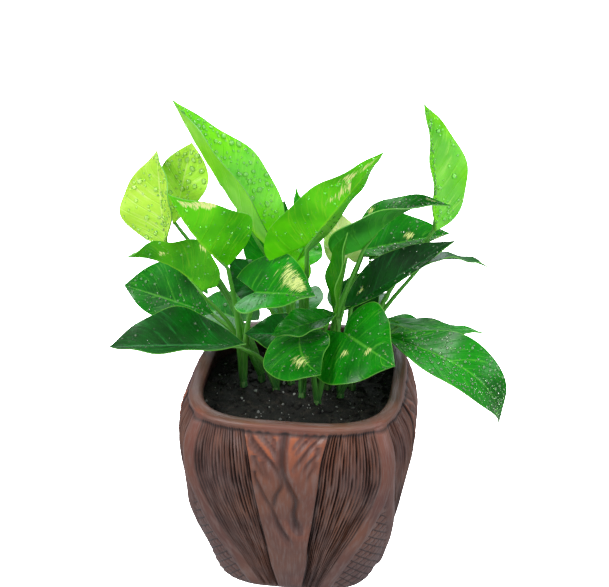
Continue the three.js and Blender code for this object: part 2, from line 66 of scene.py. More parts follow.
# base and tip are the ends of a midrib, and via is a point that the stalk passes. roll turns the
# blade about the midrib and fold raises its halves, in degrees. arch, droop and bend bulge the
# midrib, as parts of its length, and twist turns the tip. widest is the place of the greatest
# width, and uneven makes the right half wider. lobe is the reach of the heart-shaped base, skew
# makes its right lobe longer, and wave is the height of the ripples at the rim. cream lists pale
# marks as (u, t, size), with u from -1 to 1 across and t from 0 to 1 along. drops is how many
# drops of water lie on the upper side, or with wet_under on the under side, and fine is their
# size beside the usual one. shade is painted shade, which darkens the blade, strap widens the
# sheath at the foot of its stalk, and tint names a row of TINTS.
LEAVES = [
    dict(name="tall_left", stem="d", base=(-26, 8, 211), tip=(-76, 20, 289), via=(-11, 17, 172),
         roll=6, width=60, fold=43, bend=-0.05, widest=0.33, tint="lime", drops=260),
    dict(name="pale_left", stem="b", base=(-80, 2, 205), tip=(-87, 22, 257), via=(-50, 16, 172),
         roll=-57, width=54, fold=28, lobe=0, widest=0.42, tint="pale", drops=90, strap=1.3),
    dict(name="pale_behind", stem="b", base=(-78, 18, 214), tip=(-69, 36, 258),
         roll=35, width=30, fold=12, lobe=0.05, widest=0.55, tint="pale", drops=55),
    dict(name="heart_left", stem="a", base=(-39, -18, 204), tip=(-66, -40, 255),
         roll=24, width=54, fold=40, arch=-0.07, lobe=0, widest=0.38, uneven=-0.15, tint="bright",
         strap=1.2, drops=70, fine=0.5, wet_under=True,
         cream=[(-0.48, 0.88, 0.2), (-0.76, 0.79, 0.2), (-0.95, 0.76, 0.16)]),
    dict(name="wavy_left", stem="a", base=(-56, -12, 184), tip=(-97, -22, 208), via=(-40, 2, 150),
         roll=51, width=42, fold=40, arch=0.14, wave=2, lobe=0.08, tint="bright", shade=0.3,
         drops=60, fine=0.5, wet_under=True,
         cream=[(1, 0.79, 0.25), (-0.38, 0.62, 0.14), (-0.9, 0.3, 0.12)]),
    dict(name="oval_left", stem="b", base=(-55, 6, 160), tip=(-110, 12, 173),
         roll=-59, width=36, fold=8, lobe=0.05, widest=0.55, uneven=0.3, tint="mid",
         drops=90, fine=0.6),
    dict(name="low_left", stem="c", base=(-33, -22, 155), tip=(-109, -30, 153),
         roll=0, width=60, fold=22, lobe=0.06, widest=0.52, tint="deep", strap=1.4,
         drops=60, fine=0.5),
    dict(name="centre_patch", stem="a", base=(-23, -24, 191), tip=(14, -44, 201),
         roll=22, width=52, fold=20, lobe=0.22, skew=-0.8, tint="mid",
         drops=60, fine=0.5, cream=[(-0.5, 0.5, 0.45), (-0.38, 0.73, 0.3)]),
    dict(name="shade_left", stem="d", base=(-24, 6, 178), tip=(-44, 10, 196),
         roll=-57, width=26, fold=10, tint="deep"),
    dict(name="teal_behind", stem="d", base=(-24, 28, 186), tip=(-15, 45, 220),
         roll=33, width=34, fold=10, tint="mid"),
    dict(name="centre_big", stem="e", base=(6, -20, 220), tip=(49, -45, 286), via=(3, 4, 152),
         roll=-27, width=45, fold=30, lobe=0.3, widest=0.2, tint="bright",
         drops=90, fine=0.5, wet_under=True,
         cream=[(0.2, 0.58, 0.2), (0.33, 0.45, 0.1), (0.6, 0.7, 0.22), (0.35, 0.88, 0.22)]),
    dict(name="bud_behind", stem="e", base=(1, 22, 205), tip=(-6, 28, 236),
         roll=-60, width=12, fold=30, tint="bright"),
    dict(name="pale_mid", stem="e", base=(0, 2, 190), tip=(-21, 12, 208),
         roll=-49, width=20, fold=10, tint="lime"),
    dict(name="cream", stem="g", base=(26, 13, 199), tip=(17, 19, 228),
         roll=-42, width=24, fold=10, tint="cream",
         cream=[(-0.2, 0.5, 0.6)]),
    dict(name="curled_right", stem="g", base=(36, -8, 214), tip=(85, -8, 243), via=(22, -2, 168),
         roll=-10, width=44, fold=45, arch=0.1, droop=0.05, lobe=0.2, widest=0.24,
         uneven=0.35, twist=45, tint="mid", drops=220, fine=0.6,
         cream=[(-0.86, 0.33, 0.14), (-0.62, 0.85, 0.16)]),
    dict(name="light_right", stem="g", base=(36, 18, 202), tip=(86, 28, 211),
         roll=45, width=28, fold=15, lobe=0.05, uneven=-0.5, tint="mid", drops=70, fine=0.7,
         cream=[(-0.2, 0.54, 0.2), (0.9, 0.85, 0.3)]),
    dict(name="under_right", stem="i", base=(38, 32, 191), tip=(71, 38, 197), via=(43, 34, 168),
         roll=-30, width=30, fold=10, tint="mid"),
    dict(name="tall_right", stem="i", base=(77, 10, 220), tip=(67, 26, 290),
         roll=26, width=42, fold=30, bend=0.06, lobe=0, widest=0.4, tint="lime", drops=80),
    dict(name="dark_right", stem="h", base=(30, -2, 174), tip=(89, 4, 217),
         roll=47, width=20, fold=15, lobe=0.05, widest=0.4, uneven=-0.6, tint="deep", shade=0.3,
         drops=30, fine=0.6, cream=[(-0.43, 0.15, 0.12)]),
    dict(name="olive_back", stem="j", base=(29, 23, 160), tip=(43, 29, 186),
         roll=53, width=28, fold=10, tint="deep"),
    dict(name="far_right", stem="i", base=(68, 16, 194), tip=(110, 14, 196),
         roll=-15, width=22, fold=10, arch=0.12, tint="deep"),
    dict(name="thin_right", stem="i", base=(58, 16, 155), tip=(111, 10, 155),
         roll=0, width=16, fold=10, tint="mid"),
    dict(name="droop_right", stem="h", base=(56, -12, 160), tip=(120, -22, 113),
         roll=35, width=34, fold=20, arch=0.24, droop=0.12, lobe=0.05, widest=0.45, tint="mid",
         drops=340, fine=0.6),
    dict(name="front_right", stem="f", base=(28, -16, 164), tip=(59, -46, 161),
         roll=50, width=56, fold=10, lobe=0.25, skew=0.8, widest=0.3, uneven=0.1, tint="mid",
         drops=70, fine=0.5,
         cream=[(0.33, 0.25, 0.12), (0.05, 0.51, 0.14), (-0.29, 0.77, 0.1), (0, 0.95, 0.12)]),
    dict(name="front_left", stem="f", base=(2, -16, 162), tip=(18, -50, 155),
         roll=26, width=42, fold=6, bend=0.12, uneven=0.1, widest=0.4, tint="mid",
         drops=50, fine=0.5, cream=[(0.14, 0.58, 0.36)]),
    dict(name="shade_front", stem="c", base=(-3, -3, 154), tip=(-32, -11, 157),
         roll=-42, width=26, fold=10, tint="deep"),
    dict(name="bright_small", stem="f", base=(18.5, -17, 174), tip=(-13, -28, 166),
         via=(13, -9, 150), roll=-10, width=24, fold=15, widest=0.45, tint="mid"),
    dict(name="young", stem="h", base=(22, -9, 171), tip=(30, -31, 234),
         roll=92, width=22, fold=30, lobe=0, widest=0.45, tint="bright", shade=0.55),
    dict(name="back_left", stem="b", base=(-40, 28, 144), tip=(-88, 54, 130),
         roll=-10, width=40, fold=12, arch=0.12, tint="mid", drops=30),
    dict(name="back_middle", stem="d", base=(-9, 34, 150), tip=(-18, 78, 138),
         roll=0, width=42, fold=12, arch=0.14, tint="mid", drops=30),
    dict(name="back_right", stem="j", base=(26, 42, 150), tip=(44, 82, 140),
         roll=0, width=40, fold=12, arch=0.12, tint="deep", drops=20),
    dict(name="back_low", stem="i", base=(54, 28, 140), tip=(91, 48, 124),
         roll=8, width=34, fold=12, arch=0.1, tint="mid"),
    dict(name="back_high", stem="d", base=(-8, 40, 182), tip=(-6, 66, 192),
         roll=10, width=32, fold=12, arch=0.05, tint="bright", drops=20),
]

# where each stem stands in the soil
STEMS = {
    "a": (-36, 4), "b": (-26, 12), "c": (-15, 0), "d": (-7, 9), "e": (2, -6), "f": (12, -13),
    "g": (16, 6), "h": (25, -3), "i": (31, 9), "j": (26, 24),
}

# each tint's upper side, its dark streaks, its light streaks, and its under side
TINTS = {
    "lime": ("#7EE00C", "#54C404", "#B8F458", "#98E82C"),
    "pale": ("#C4F24C", "#A4E034", "#ECFCA0", "#C8F46C"),
    "bright": ("#3EC400", "#149600", "#A4EC30", "#68DE08"),
    "mid": ("#14960C", "#045E08", "#68CC38", "#3EB828"),
    "deep": ("#066A0E", "#023804", "#2CA040", "#1C982A"),
    "cream": ("#D0E48C", "#84C43C", "#FFFFEC", "#C8E890"),
}
CREAM_MARK = "#F8FFA0"
# the pale green of a leaf's edge, a painted highlight along its margin
LEAF_RIM_HIGHLIGHT = "#74C044"
# painted shade, laid over a blade as far as its shade number says
PAINTED_LEAF_SHADE = "#06280A"
PAINTED_GLOW = {"lime": 0.16, "pale": 0.08, "bright": 0.1}  # painted glow, as of light that shows through a thin young leaf
LEAF_SCATTER = (1.0, 1.0, 0.6)  # how far red, green and blue light spread inside a leaf
VEIN_LEAN = 0.3  # how far a side vein runs towards the tip on its way to the rim

# numbers on each point of a blade: the seed of its pattern, how cream it is, and its painted shade
LEAF_ATTRIBUTES = ("seed", "cream", "shade")

# ------------------------------------------------------------------ the pot's shape

SQUARENESS = 3.5  # of the plan, where 2 would be round

# (height, half width of a side) outside and inside, and the lip between them the other way round
POT_OUTSIDE = [
    (0, 49), (3, 51.5), (14, 55), (30, 59.5), (48, 63.8), (66, 67.3), (84, 70), (98, 71.2),
    (107, 70.6), (114, 69), (119, 66.8), (123, 65), (128, 63),
]
POT_INSIDE = [(7, 43), (30, 51.5), (62, 58.2), (96, 61.8), (112, 60), (125, 56)]
LIP_ROUND = [
    (64.1, 126), (63.6, 127.1), (62.5, 127.8), (60.8, 128), (58.4, 127.9), (57, 127.2), (56.2, 126.2),
]
INSIDE_HEIGHTS = (125, 121, 117, 112, 107, 96, 80, 62, 46, 30, 16, 7)

# across a side, 0 is its middle and 1 its corner: the root's edge and the bark's outer edge
ROOT_EDGE = [(0, 0.16), (24, 0.22), (45, 0.24), (66, 0.28), (84, 0.31), (110, 0.36), (128, 0.48)]
BARK_EDGE = [(0, 0.4), (16, 0.5), (30, 0.58), (54, 0.74), (76, 0.86), (92, 0.92)]
RIDGE_WIDTH = 0.16
ROOT_SPAN = 52  # millimetres from a side's middle to its corner, for the cuts in the root
CORNER_SPAN = 57  # the same, for what lies nearer the corner

CARVING_TOP = 124.5
LIP_SEAM = 123.4  # height of the groove under the lip
ROOT_RISE = 1.0  # how far the root stands out
RIDGE_RISE = 2.0  # and the ridge along the bark's outer edge
NET_RISE = 0.8  # height of a diamond of the net above the lines around it
NET_BED = 0.6  # depth of those lines below the wall
NET_SLOPE = 0.8  # rise of the net's lines for each millimetre round the corner
MAIN_GROOVE = 0.9  # depth of the three broad valleys of each panel of bark
WANDER = 0.5  # how far the clay wanders from its profile

# numbers on each point of the wall: how deeply cut it is and so how dark with stain and painted
# shade, how rubbed, partly as painted highlight, how red with painted sheen, how much of it is
# net, and how far it is from its corner
CLAY_ATTRIBUTES = ("stain_and_shade", "raised", "red_sheen", "netted", "arc")

# cuts in the root: (across, height) from the top down, depth and half width
ROOT_CUTS = [
    ([(-0.42, 124), (-0.34, 119), (-0.24, 114), (-0.16, 108)], 1.3, 0.9),
    ([(-0.31, 124), (-0.22, 120), (-0.12, 115), (-0.07, 109)], 1.3, 0.9),
    ([(-0.22, 124), (-0.13, 120), (-0.06, 115)], 1.1, 0.8),
    ([(-0.35, 117), (-0.19, 110), (-0.08, 102), (-0.03, 93), (-0.1, 84), (-0.14, 72)], 1.6, 1.2),
    ([(-0.31, 109), (-0.25, 102), (-0.18, 95)], 1.2, 1.0),
    ([(-0.22, 105), (-0.18, 99), (-0.13, 93)], 0.9, 0.9),
    ([(-0.01, 124), (-0.03, 112), (-0.02, 101), (0.05, 90), (0.11, 81), (0.09, 70), (0.14, 56)],
     1.9, 1.4),
    ([(0.41, 124), (0.28, 118), (0.18, 111), (0.1, 104)], 1.3, 0.9),
    ([(0.33, 124), (0.22, 120), (0.12, 114)], 1.2, 0.9),
    ([(0.24, 124), (0.16, 121), (0.08, 116)], 1.0, 0.8),
    ([(0.34, 114), (0.24, 108), (0.19, 101)], 1.2, 0.9),
    ([(0.3, 106), (0.25, 101), (0.22, 94)], 1.0, 0.9),
    ([(-0.31, 98), (-0.22, 83), (-0.14, 72), (-0.08, 60), (0.04, 46)], 1.5, 1.0),
    ([(-0.07, 86), (-0.13, 74), (-0.16, 62)], 0.9, 1.0),
]

# the wall's grid: columns in half a root, in a groove and in half a corner
ROOT_COLUMNS = 22
GROOVE_COLUMNS = 4
CORNER_COLUMNS = 26
OUTSIDE_ROWS = 78
OUTSIDE_TOP = 125

DRAIN_RADIUS = 4
DRAIN_OFFSET = 22  # from the pot's middle to a hole's
DRILL_LENGTH = 24
DRILL_HEIGHT = 3  # of the drill's middle

SOIL_TOP = 110  # where the peat meets the wall
SOIL_MOUND = 3  # how far its middle rises above that
SOIL_GAP = 0.4  # between the peat and the wall
SOIL_FLOOR = 7.3  # height of the peat's under side
SOIL_REACH = 58  # how far from the middle the mound dies out
SOIL_STEPS = 110
GRAIN_REACH = 57  # half width of the area that crumbs and grit lie on

# ------------------------------------------------------------------ settings in the sidebar


def colour_property(name, description, code):
    """A colour setting whose default is an sRGB hex value."""
    return FloatVectorProperty(
        name=name, description=description, subtype="COLOR", size=3, min=0, max=1,
        default=to_linear(code)[:3])


def to_linear(code):
    """The linear RGBA of an sRGB hex value."""
    parts = [int(code[i:i + 2], 16) / 255 for i in (1, 3, 5)]
    linear = [c / 12.92 if c <= 0.04045 else ((c + 0.055) / 1.055) ** 2.4 for c in parts]
    return (*linear, 1.0)


class PotSettings(PropertyGroup):
    grooves: IntProperty(
        name="Bark grooves", description="Grooves in each panel of bark", default=19, min=4, max=19)
    groove_depth: FloatProperty(
        name="Groove depth", description="Depth of the deepest bark grooves",
        default=1.3 * MM, min=0, max=3 * MM, subtype="DISTANCE", unit="LENGTH")
    net_pitch: FloatProperty(
        name="Net pitch", description="Height of a diamond of the raised net at the corners",
        default=6.5 * MM, min=2 * MM, max=20 * MM, subtype="DISTANCE", unit="LENGTH")
    clay: colour_property("Clay", "Colour of the fired clay", "#80543F")
    # the stain in the cuts, which also paints shade in the grooves, under the lip and inside the pot
    stain_and_shade: colour_property("Hollows", "Colour of the stain that lies in the cuts", "#281A17")
    # rubbed orange on raised parts, partly a painted highlight towards the top and on the lip
    rubbed: colour_property("Rubbed edges", "Colour where the stain is rubbed off", "#C0683C")


class SoilSettings(PropertyGroup):
    crumbs: IntProperty(
        name="Crumbs", description="Crumbs of peat on the surface", default=520, min=0, max=2000)
    grit: IntProperty(
        name="Grit", description="Pale grains on the surface", default=190, min=0, max=600)
    peat: colour_property("Peat", "Colour of the peat", "#1D1D19")


class LeafSettings(PropertyGroup):
    thickness: FloatProperty(
        name="Thickness", description="Thickness of a blade", default=0.6 * MM,
        min=0.2 * MM, max=1.5 * MM, subtype="DISTANCE", unit="LENGTH")
    rows: IntProperty(name="Rows", description="Rows of faces along a blade", default=44, min=8)
    columns: IntProperty(
        name="Columns", description="Columns of faces across a blade", default=20, min=4)
    veins: FloatProperty(
        name="Side veins", description="Side veins of each half of a blade", default=7, min=1)
    drop_share: FloatProperty(
        name="Drops", description="Share of the drops of water that lie on the leaves",
        default=1, min=0, max=1, subtype="FACTOR")


class StalkSettings(PropertyGroup):
    root_radius: FloatProperty(
        name="Root radius", description="Radius of a stalk where it leaves its stem",
        default=1.9 * MM, min=0.5 * MM, subtype="DISTANCE", unit="LENGTH")
    tip_radius: FloatProperty(
        name="Tip radius", description="Radius of a stalk where it meets its leaf",
        default=1.2 * MM, min=0.3 * MM, subtype="DISTANCE", unit="LENGTH")
    young: colour_property("Young stalk", "Colour of a stalk near its leaf", "#5CB434")
    old: colour_property("Old stalk", "Colour of a stalk near the soil", "#2C6C2A")


class StageSettings(PropertyGroup):
    lens: FloatProperty(
        name="Lens", description="Focal length on a 36 mm sensor", default=70.3, min=1,
        subtype="DISTANCE_CAMERA")
    key_power: FloatProperty(
        name="Key light", description="Power of the large light", default=10, subtype="POWER")
    backdrop: colour_property("Backdrop", "Colour of the floor", "#FFFFFF")


class PothosSettings(PropertyGroup):
    pot: PointerProperty(type=PotSettings)
    soil: PointerProperty(type=SoilSettings)
    leaf: PointerProperty(type=LeafSettings)
    stalk: PointerProperty(type=StalkSettings)
    stage: PointerProperty(type=StageSettings)


# ------------------------------------------------------------------ small helpers


def clamp01(value):
    return min(1.0, max(0.0, value))


def smooth_step(low, high, value):
    t = clamp01((value - low) / (high - low))
    return t * t * (3 - 2 * t)


def look_up(table, value):
    """The straight-line reading of a table of (value, result)."""
    if value <= table[0][0]:
        return table[0][1]
    for (x0, y0), (x1, y1) in zip(table, table[1:]):
        if value <= x1:
            return y0 + (y1 - y0) * (value - x0) / (x1 - x0)
    return table[-1][1]


def curve_up(table, value):
    """The same reading along one smooth curve."""
    value = min(max(value, table[0][0]), table[-1][0])
    last = len(table) - 2
    i = next((k for k in range(last + 1) if value <= table[k + 1][0]), last)
    (x1, y1), (x2, y2) = table[i], table[i + 1]
    x0, y0 = table[i - 1] if i else (x1, y1)
    x3, y3 = table[i + 2] if i < last else (x2, y2)
    span = x2 - x1
    m1 = (y2 - y0) / (x2 - x0) * span
    m2 = (y3 - y1) / (x3 - x1) * span
    t = (value - x1) / span
    return ((2 * t**3 - 3 * t**2 + 1) * y1 + (t**3 - 2 * t**2 + t) * m1
            + (3 * t**2 - 2 * t**3) * y2 + (t**3 - t**2) * m2)


def select_only(*objects):
    """Nothing but these is selected, and the last is the active one."""
    bpy.ops.object.select_all(action="DESELECT")
    for each in objects:
        each.select_set(True)
        bpy.context.view_layer.objects.active = each


@contextmanager
def editing(piece):
    """Edit mode on one piece, which starts with all of it selected."""
    select_only(piece)
    bpy.ops.object.mode_set(mode="EDIT")
    bpy.ops.mesh.select_all(action="SELECT")
    yield
    bpy.ops.object.mode_set(mode="OBJECT")


def add_primitive(add, **sizes):
    """What one of Blender's primitives makes, with nothing else selected."""
    bpy.ops.object.select_all(action="DESELECT")
    add(**sizes)
    return bpy.context.object


def add_sheet(name, columns, rows):
    """A flat grid of one unit a side, to be shaped."""
    sheet = add_primitive(
        bpy.ops.mesh.primitive_grid_add, x_subdivisions=columns, y_subdivisions=rows, size=1)
    sheet.name = name
    sheet.data.name = name
    return sheet


def grid_places(sheet, columns, rows):
    """The column and row of each point of a grid."""
    return [
        (round((v.co.x + 0.5) * columns), round((v.co.y + 0.5) * rows)) for v in sheet.data.vertices]


def shape_sheet(sheet, columns, rows, place):
    """Puts each point of a grid where place(column, row) says, in millimetres."""
    for vertex, (column, row) in zip(sheet.data.vertices, grid_places(sheet, columns, rows)):
        vertex.co = place(column, row) * MM


def set_attribute(mesh, name, values):
    """A number for each point, which a material reads by its name."""
    attribute = mesh.attributes.new(name, "FLOAT", "POINT")
    attribute.data.foreach_set("value", values)


def copies_of(template, places, name):
    """One mesh of a template's copies, each put where its matrix says."""
    mesh = bmesh.new()
    for place in places:
        start = len(mesh.verts)
        mesh.from_mesh(template.data)
        mesh.verts.ensure_lookup_table()
        for vertex in mesh.verts[start:]:
            vertex.co = place @ vertex.co
    data = bpy.data.meshes.new(name)
    mesh.to_mesh(data)
    mesh.free()
    strewn = bpy.data.objects.new(name, data)
    bpy.context.collection.objects.link(strewn)
    return strewn


def merge_and_turn_out(piece, distance=0.001 * MM):
    """Closes seams and poles, and points the faces outwards."""
    with editing(piece):
        bpy.ops.mesh.remove_doubles(threshold=distance)
        bpy.ops.mesh.normals_make_consistent(inside=False)


def fill_open_edges(piece):
    """Closes every open end with one face."""
    with editing(piece):
        bpy.ops.mesh.select_mode(type="EDGE")
        bpy.ops.mesh.select_non_manifold(extend=False)
        bpy.ops.mesh.fill_holes(sides=0)
        bpy.ops.mesh.select_all(action="SELECT")
        bpy.ops.mesh.normals_make_consistent(inside=False)
        bpy.ops.mesh.select_mode(type="VERT")


def shade(piece, degrees=60):
    """Smooth shading, apart from edges sharper than this."""
    select_only(piece)
    bpy.ops.object.shade_smooth_by_angle(angle=math.radians(degrees))


def finish_piece(piece, materials=(), node=None):
    """Gives a piece what materials it still lacks, and its place on the object's one body."""
    for material in materials:
        piece.data.materials.append(material)
    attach(piece, BODY)
    if node:
        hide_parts(node)


# ------------------------------------------------------------------ materials


def add_node(tree, kind, inputs=None, **settings):
    """Adds one node with its settings, values and links, and gives back its outputs."""
    made = tree.nodes.new(f"ShaderNode{kind}")
    for key, value in settings.items():
        setattr(made, key, value)
    for socket, source in (inputs or {}).items():
        if isinstance(source, bpy.types.NodeSocket):
            tree.links.new(source, made.inputs[socket])
        else:
            made.inputs[socket].default_value = source
    return made.outputs


def new_material(name):
    """An empty node material, and add_node for its own tree."""
    material = bpy.data.materials.new(name)
    material.use_nodes = True
    material.node_tree.nodes.clear()
    return material, partial(add_node, material.node_tree)


def close_material(add, colour, roughness, normal, **values):
    """The surface shader, with what is the same all over set on its own sockets."""
    inputs = {"Base Color": colour, "Roughness": roughness, "Normal": normal}
    for key, value in values.items():
        inputs[key.replace("_", " ").title().replace("Ior", "IOR")] = value
    surface = add("BsdfPrincipled", inputs)[0]
    add("OutputMaterial", {"Surface": surface})


def lay_over(add, colour, layers):
    """Colours laid over one another, each (value, low, high, most, colour) as its value rises."""
    for value, low, high, most, over in layers:
        share = add("MapRange", {0: value, 1: low, 2: high, 3: 0.0, 4: most})[0]
        colour = add("Mix", {0: share, 6: colour, 7: over}, data_type="RGBA")[2]
    return colour


def leaf_pattern(add, veins):
    """What both sides of a leaf share: its side veins, marbling along them and pale marks."""
    across, along, _ = add("SeparateXYZ", {0: add("UVMap", uv_map="UVMap")[0]})
    # shade is how much painted shade darkens the blade
    seed, mark, shade = (add("Attribute", attribute_name=name)[2] for name in LEAF_ATTRIBUTES)
    place = add("TexCoord")[3]
    signed = add("Math", {0: across, 1: 2.0, 2: -1.0}, operation="MULTIPLY_ADD")[0]
    side = add("Math", {0: signed}, operation="ABSOLUTE")[0]
    lean = add("Math", {0: side, 1: -VEIN_LEAN, 2: along}, operation="MULTIPLY_ADD")[0]
    phase = add("Math", {0: lean, 1: veins * math.pi}, operation="MULTIPLY")[0]
    wave = add("Math", {0: phase}, operation="SINE")[0]
    near = add("Math", {0: wave}, operation="ABSOLUTE")[0]
    vein = add("MapRange", {0: near, 1: 0.0, 2: 0.22, 3: 1.0, 4: 0.0})[0]
    rib = add("MapRange", {0: side, 1: 0.012, 2: 0.045, 3: 1.0, 4: 0.0})[0]

    # the marbling runs out from the midrib between the side veins
    flow = add("CombineXYZ", {0: phase, 1: signed, 2: seed})[0]
    marble = add("TexNoise", {
        "Vector": flow, "Scale": 1.5, "Detail": 6.0, "Roughness": 0.68, "Distortion": 0.6})[0]
    fleck = add("TexNoise", {"Vector": flow, "Scale": 3.2, "Detail": 4.0, "Distortion": 0.8})[0]
    shown = add("Math", {0: fleck, 1: 2.4, 2: mark}, operation="MULTIPLY_ADD")[0]
    cream = add("MapRange", {0: shown, 1: 1.92, 2: 2.2})[0]

    # broad patches, about 24 mm across
    broad = add("TexNoise", {"Vector": place, "Scale": 42.0, "Detail": 3.0})[0]
    return SimpleNamespace(
        place=place, side=side, vein=vein, rib=rib, marble=marble, broad=broad, cream=cream, shade=shade)


def waxy_leaf_upper(tint, veins):
    """Living leaf, upper side: a waxed skin over marbled green, so it glints; its glow is painted."""
    face, dark, light, _ = (to_linear(code) for code in TINTS[tint])
    material, add = new_material(f"waxy_leaf_upper_{tint}")
    leaf = leaf_pattern(add, veins)
    colour = lay_over(add, face, (
        (leaf.broad, 0.38, 0.66, 0.85, dark),
        (leaf.marble, 0.55, 0.72, 0.75, light),
        (leaf.marble, 0.45, 0.3, 0.5, dark),
        (leaf.vein, 0.0, 1.0, 0.15, dark),
        (leaf.rib, 0.0, 1.0, 0.6, light),
        # painted shade
        (leaf.shade, 0.0, 1.0, 1.0, to_linear(PAINTED_LEAF_SHADE)),
        (leaf.cream, 0.0, 1.0, 1.0, to_linear(CREAM_MARK)),
        # a painted highlight along the margin
        (leaf.side, 0.975, 1.0, 1.0, to_linear(LEAF_RIM_HIGHLIGHT))))
    roughness = add("MapRange", {0: leaf.broad, 1: 0.3, 2: 0.7, 3: 0.28, 4: 0.42})[0]

    # the skin's unevenness is drawn about 4 mm across, because the cells themselves, well under
    # 0.1 mm, are too fine to show
    skin = add("TexNoise", {"Vector": leaf.place, "Scale": 260.0, "Detail": 3.0})[0]
    height = add("Math", {0: leaf.vein, 1: -0.4, 2: skin}, operation="MULTIPLY_ADD")[0]
    normal = add("Bump", {"Height": height, "Strength": 0.6, "Distance": 0.35 * MM})[0]
    # the emission is a painted glow, as of light that shows through a thin leaf
    close_material(
        add, colour, roughness, normal, ior=1.45, specular_ior_level=0.3, coat_weight=0.08,
        coat_roughness=0.2, emission_color=colour, emission_strength=PAINTED_GLOW.get(tint, 0),
        subsurface_weight=0.2, subsurface_scale=0.7 * MM, subsurface_radius=LEAF_SCATTER)
    return material


def matt_leaf_under(tint, veins):
    """Living leaf, under side: paler and duller than the upper, with veins that stand out."""
    _, dark, light, face = (to_linear(code) for code in TINTS[tint])
    material, add = new_material(f"matt_leaf_under_{tint}")
    leaf = leaf_pattern(add, veins)
    colour = lay_over(add, face, (
        (leaf.broad, 0.38, 0.68, 0.75, dark),
        (leaf.marble, 0.55, 0.72, 0.6, light),
        (leaf.vein, 0.0, 1.0, 0.15, light),
        (leaf.rib, 0.0, 1.0, 0.45, light),
        # painted shade
        (leaf.shade, 0.0, 1.0, 1.0, to_linear(PAINTED_LEAF_SHADE)),
        (leaf.cream, 0.0, 1.0, 1.0, to_linear(CREAM_MARK))))
    roughness = add("MapRange", {0: leaf.broad, 1: 0.3, 2: 0.7, 3: 0.34, 4: 0.5})[0]
    normal = add("Bump", {"Height": leaf.vein, "Strength": 0.4, "Distance": 0.4 * MM})[0]
    # the emission is a painted glow, as of light that shows through a thin leaf
    close_material(
        add, colour, roughness, normal, ior=1.42, specular_ior_level=0.35,
        emission_color=colour, emission_strength=PAINTED_GLOW.get(tint, 0),
        subsurface_weight=0.25, subsurface_scale=0.7 * MM, subsurface_radius=LEAF_SCATTER)
    return material


def leaf_rim():
    """The thin edge of a leaf, coloured as a pale green line: a painted highlight."""
    material, add = new_material("leaf_rim")
    broken = add("TexNoise", {"Vector": add("TexCoord")[3], "Scale": 120.0})[0]  # spots of 8 mm
    colour = lay_over(add, to_linear(LEAF_RIM_HIGHLIGHT), ((broken, 0.0, 1.0, 1.0, to_linear("#5FAE3E")),))
    normal = add("Bump", {"Height": broken, "Strength": 0.1, "Distance": 0.1 * MM})[0]
    close_material(add, colour, 0.4, normal, ior=1.45)
    return material


def green_stalk(settings):
    """Living stalk: smooth and a little glossy, ribbed along, darker green towards the soil."""
    material, add = new_material("green_stalk")
    place = add("TexCoord")[3]
    height = add("SeparateXYZ", {0: place})[2]
    risen = add("MapRange", {0: height, 1: 112 * MM, 2: 150 * MM})[0]
    blotch = add("TexNoise", {"Vector": place, "Scale": 70.0, "Detail": 3.0})[0]  # about 14 mm
    share = add("Math", {0: blotch, 1: 0.9, 2: -0.45}, operation="MULTIPLY_ADD")[0]
    youth = add("Math", {0: risen, 1: share}, operation="ADD", use_clamp=True)[0]
    lengthwise = add("Mapping", {0: add("UVMap", uv_map="UVMap")[0], 3: (9.0, 0.6, 1.0)})[0]
    rib = add("TexNoise", {"Vector": lengthwise, "Scale": 3.0, "Detail": 3.0})[0]
    colour = lay_over(add, (*settings.old, 1), (
        (youth, 0.0, 1.0, 1.0, (*settings.young, 1)), (rib, 0.5, 0.7, 0.35, to_linear("#B9E08A"))))
    normal = add("Bump", {"Height": rib, "Strength": 0.35, "Distance": 0.3 * MM})[0]
    close_material(
        add, colour, 0.38, normal, ior=1.45, coat_weight=0.15, coat_roughness=0.2,
        subsurface_weight=0.15, subsurface_scale=2 * MM, subsurface_radius=(0.5, 1.0, 0.2))
    return material


def clear_water():
    """Water: a clear, smooth lens with a bright spot, a painted pale highlight and a painted dark edge.
    """
    material, add = new_material("clear_water")

    # a drop isn't quite round, and its swellings are about 3 mm apart
    skin = add("TexNoise", {"Vector": add("TexCoord")[3], "Scale": 300.0})[0]
    normal = add("Bump", {"Height": skin, "Strength": 0.05, "Distance": 0.2 * MM})[0]

    # clear and pale from above as a painted highlight, painted dark green where its side slopes away
    painted_edge_shade = add("Attribute", attribute_name="painted_edge_shade")[2]
    colour = lay_over(add, to_linear("#F4FFE8"), ((painted_edge_shade, 0.55, 1.0, 1.0, to_linear("#3C8C18")),))
    close_material(add, colour, 0.03, normal, ior=1.38, transmission_weight=0.7, alpha=0.6)
    return material


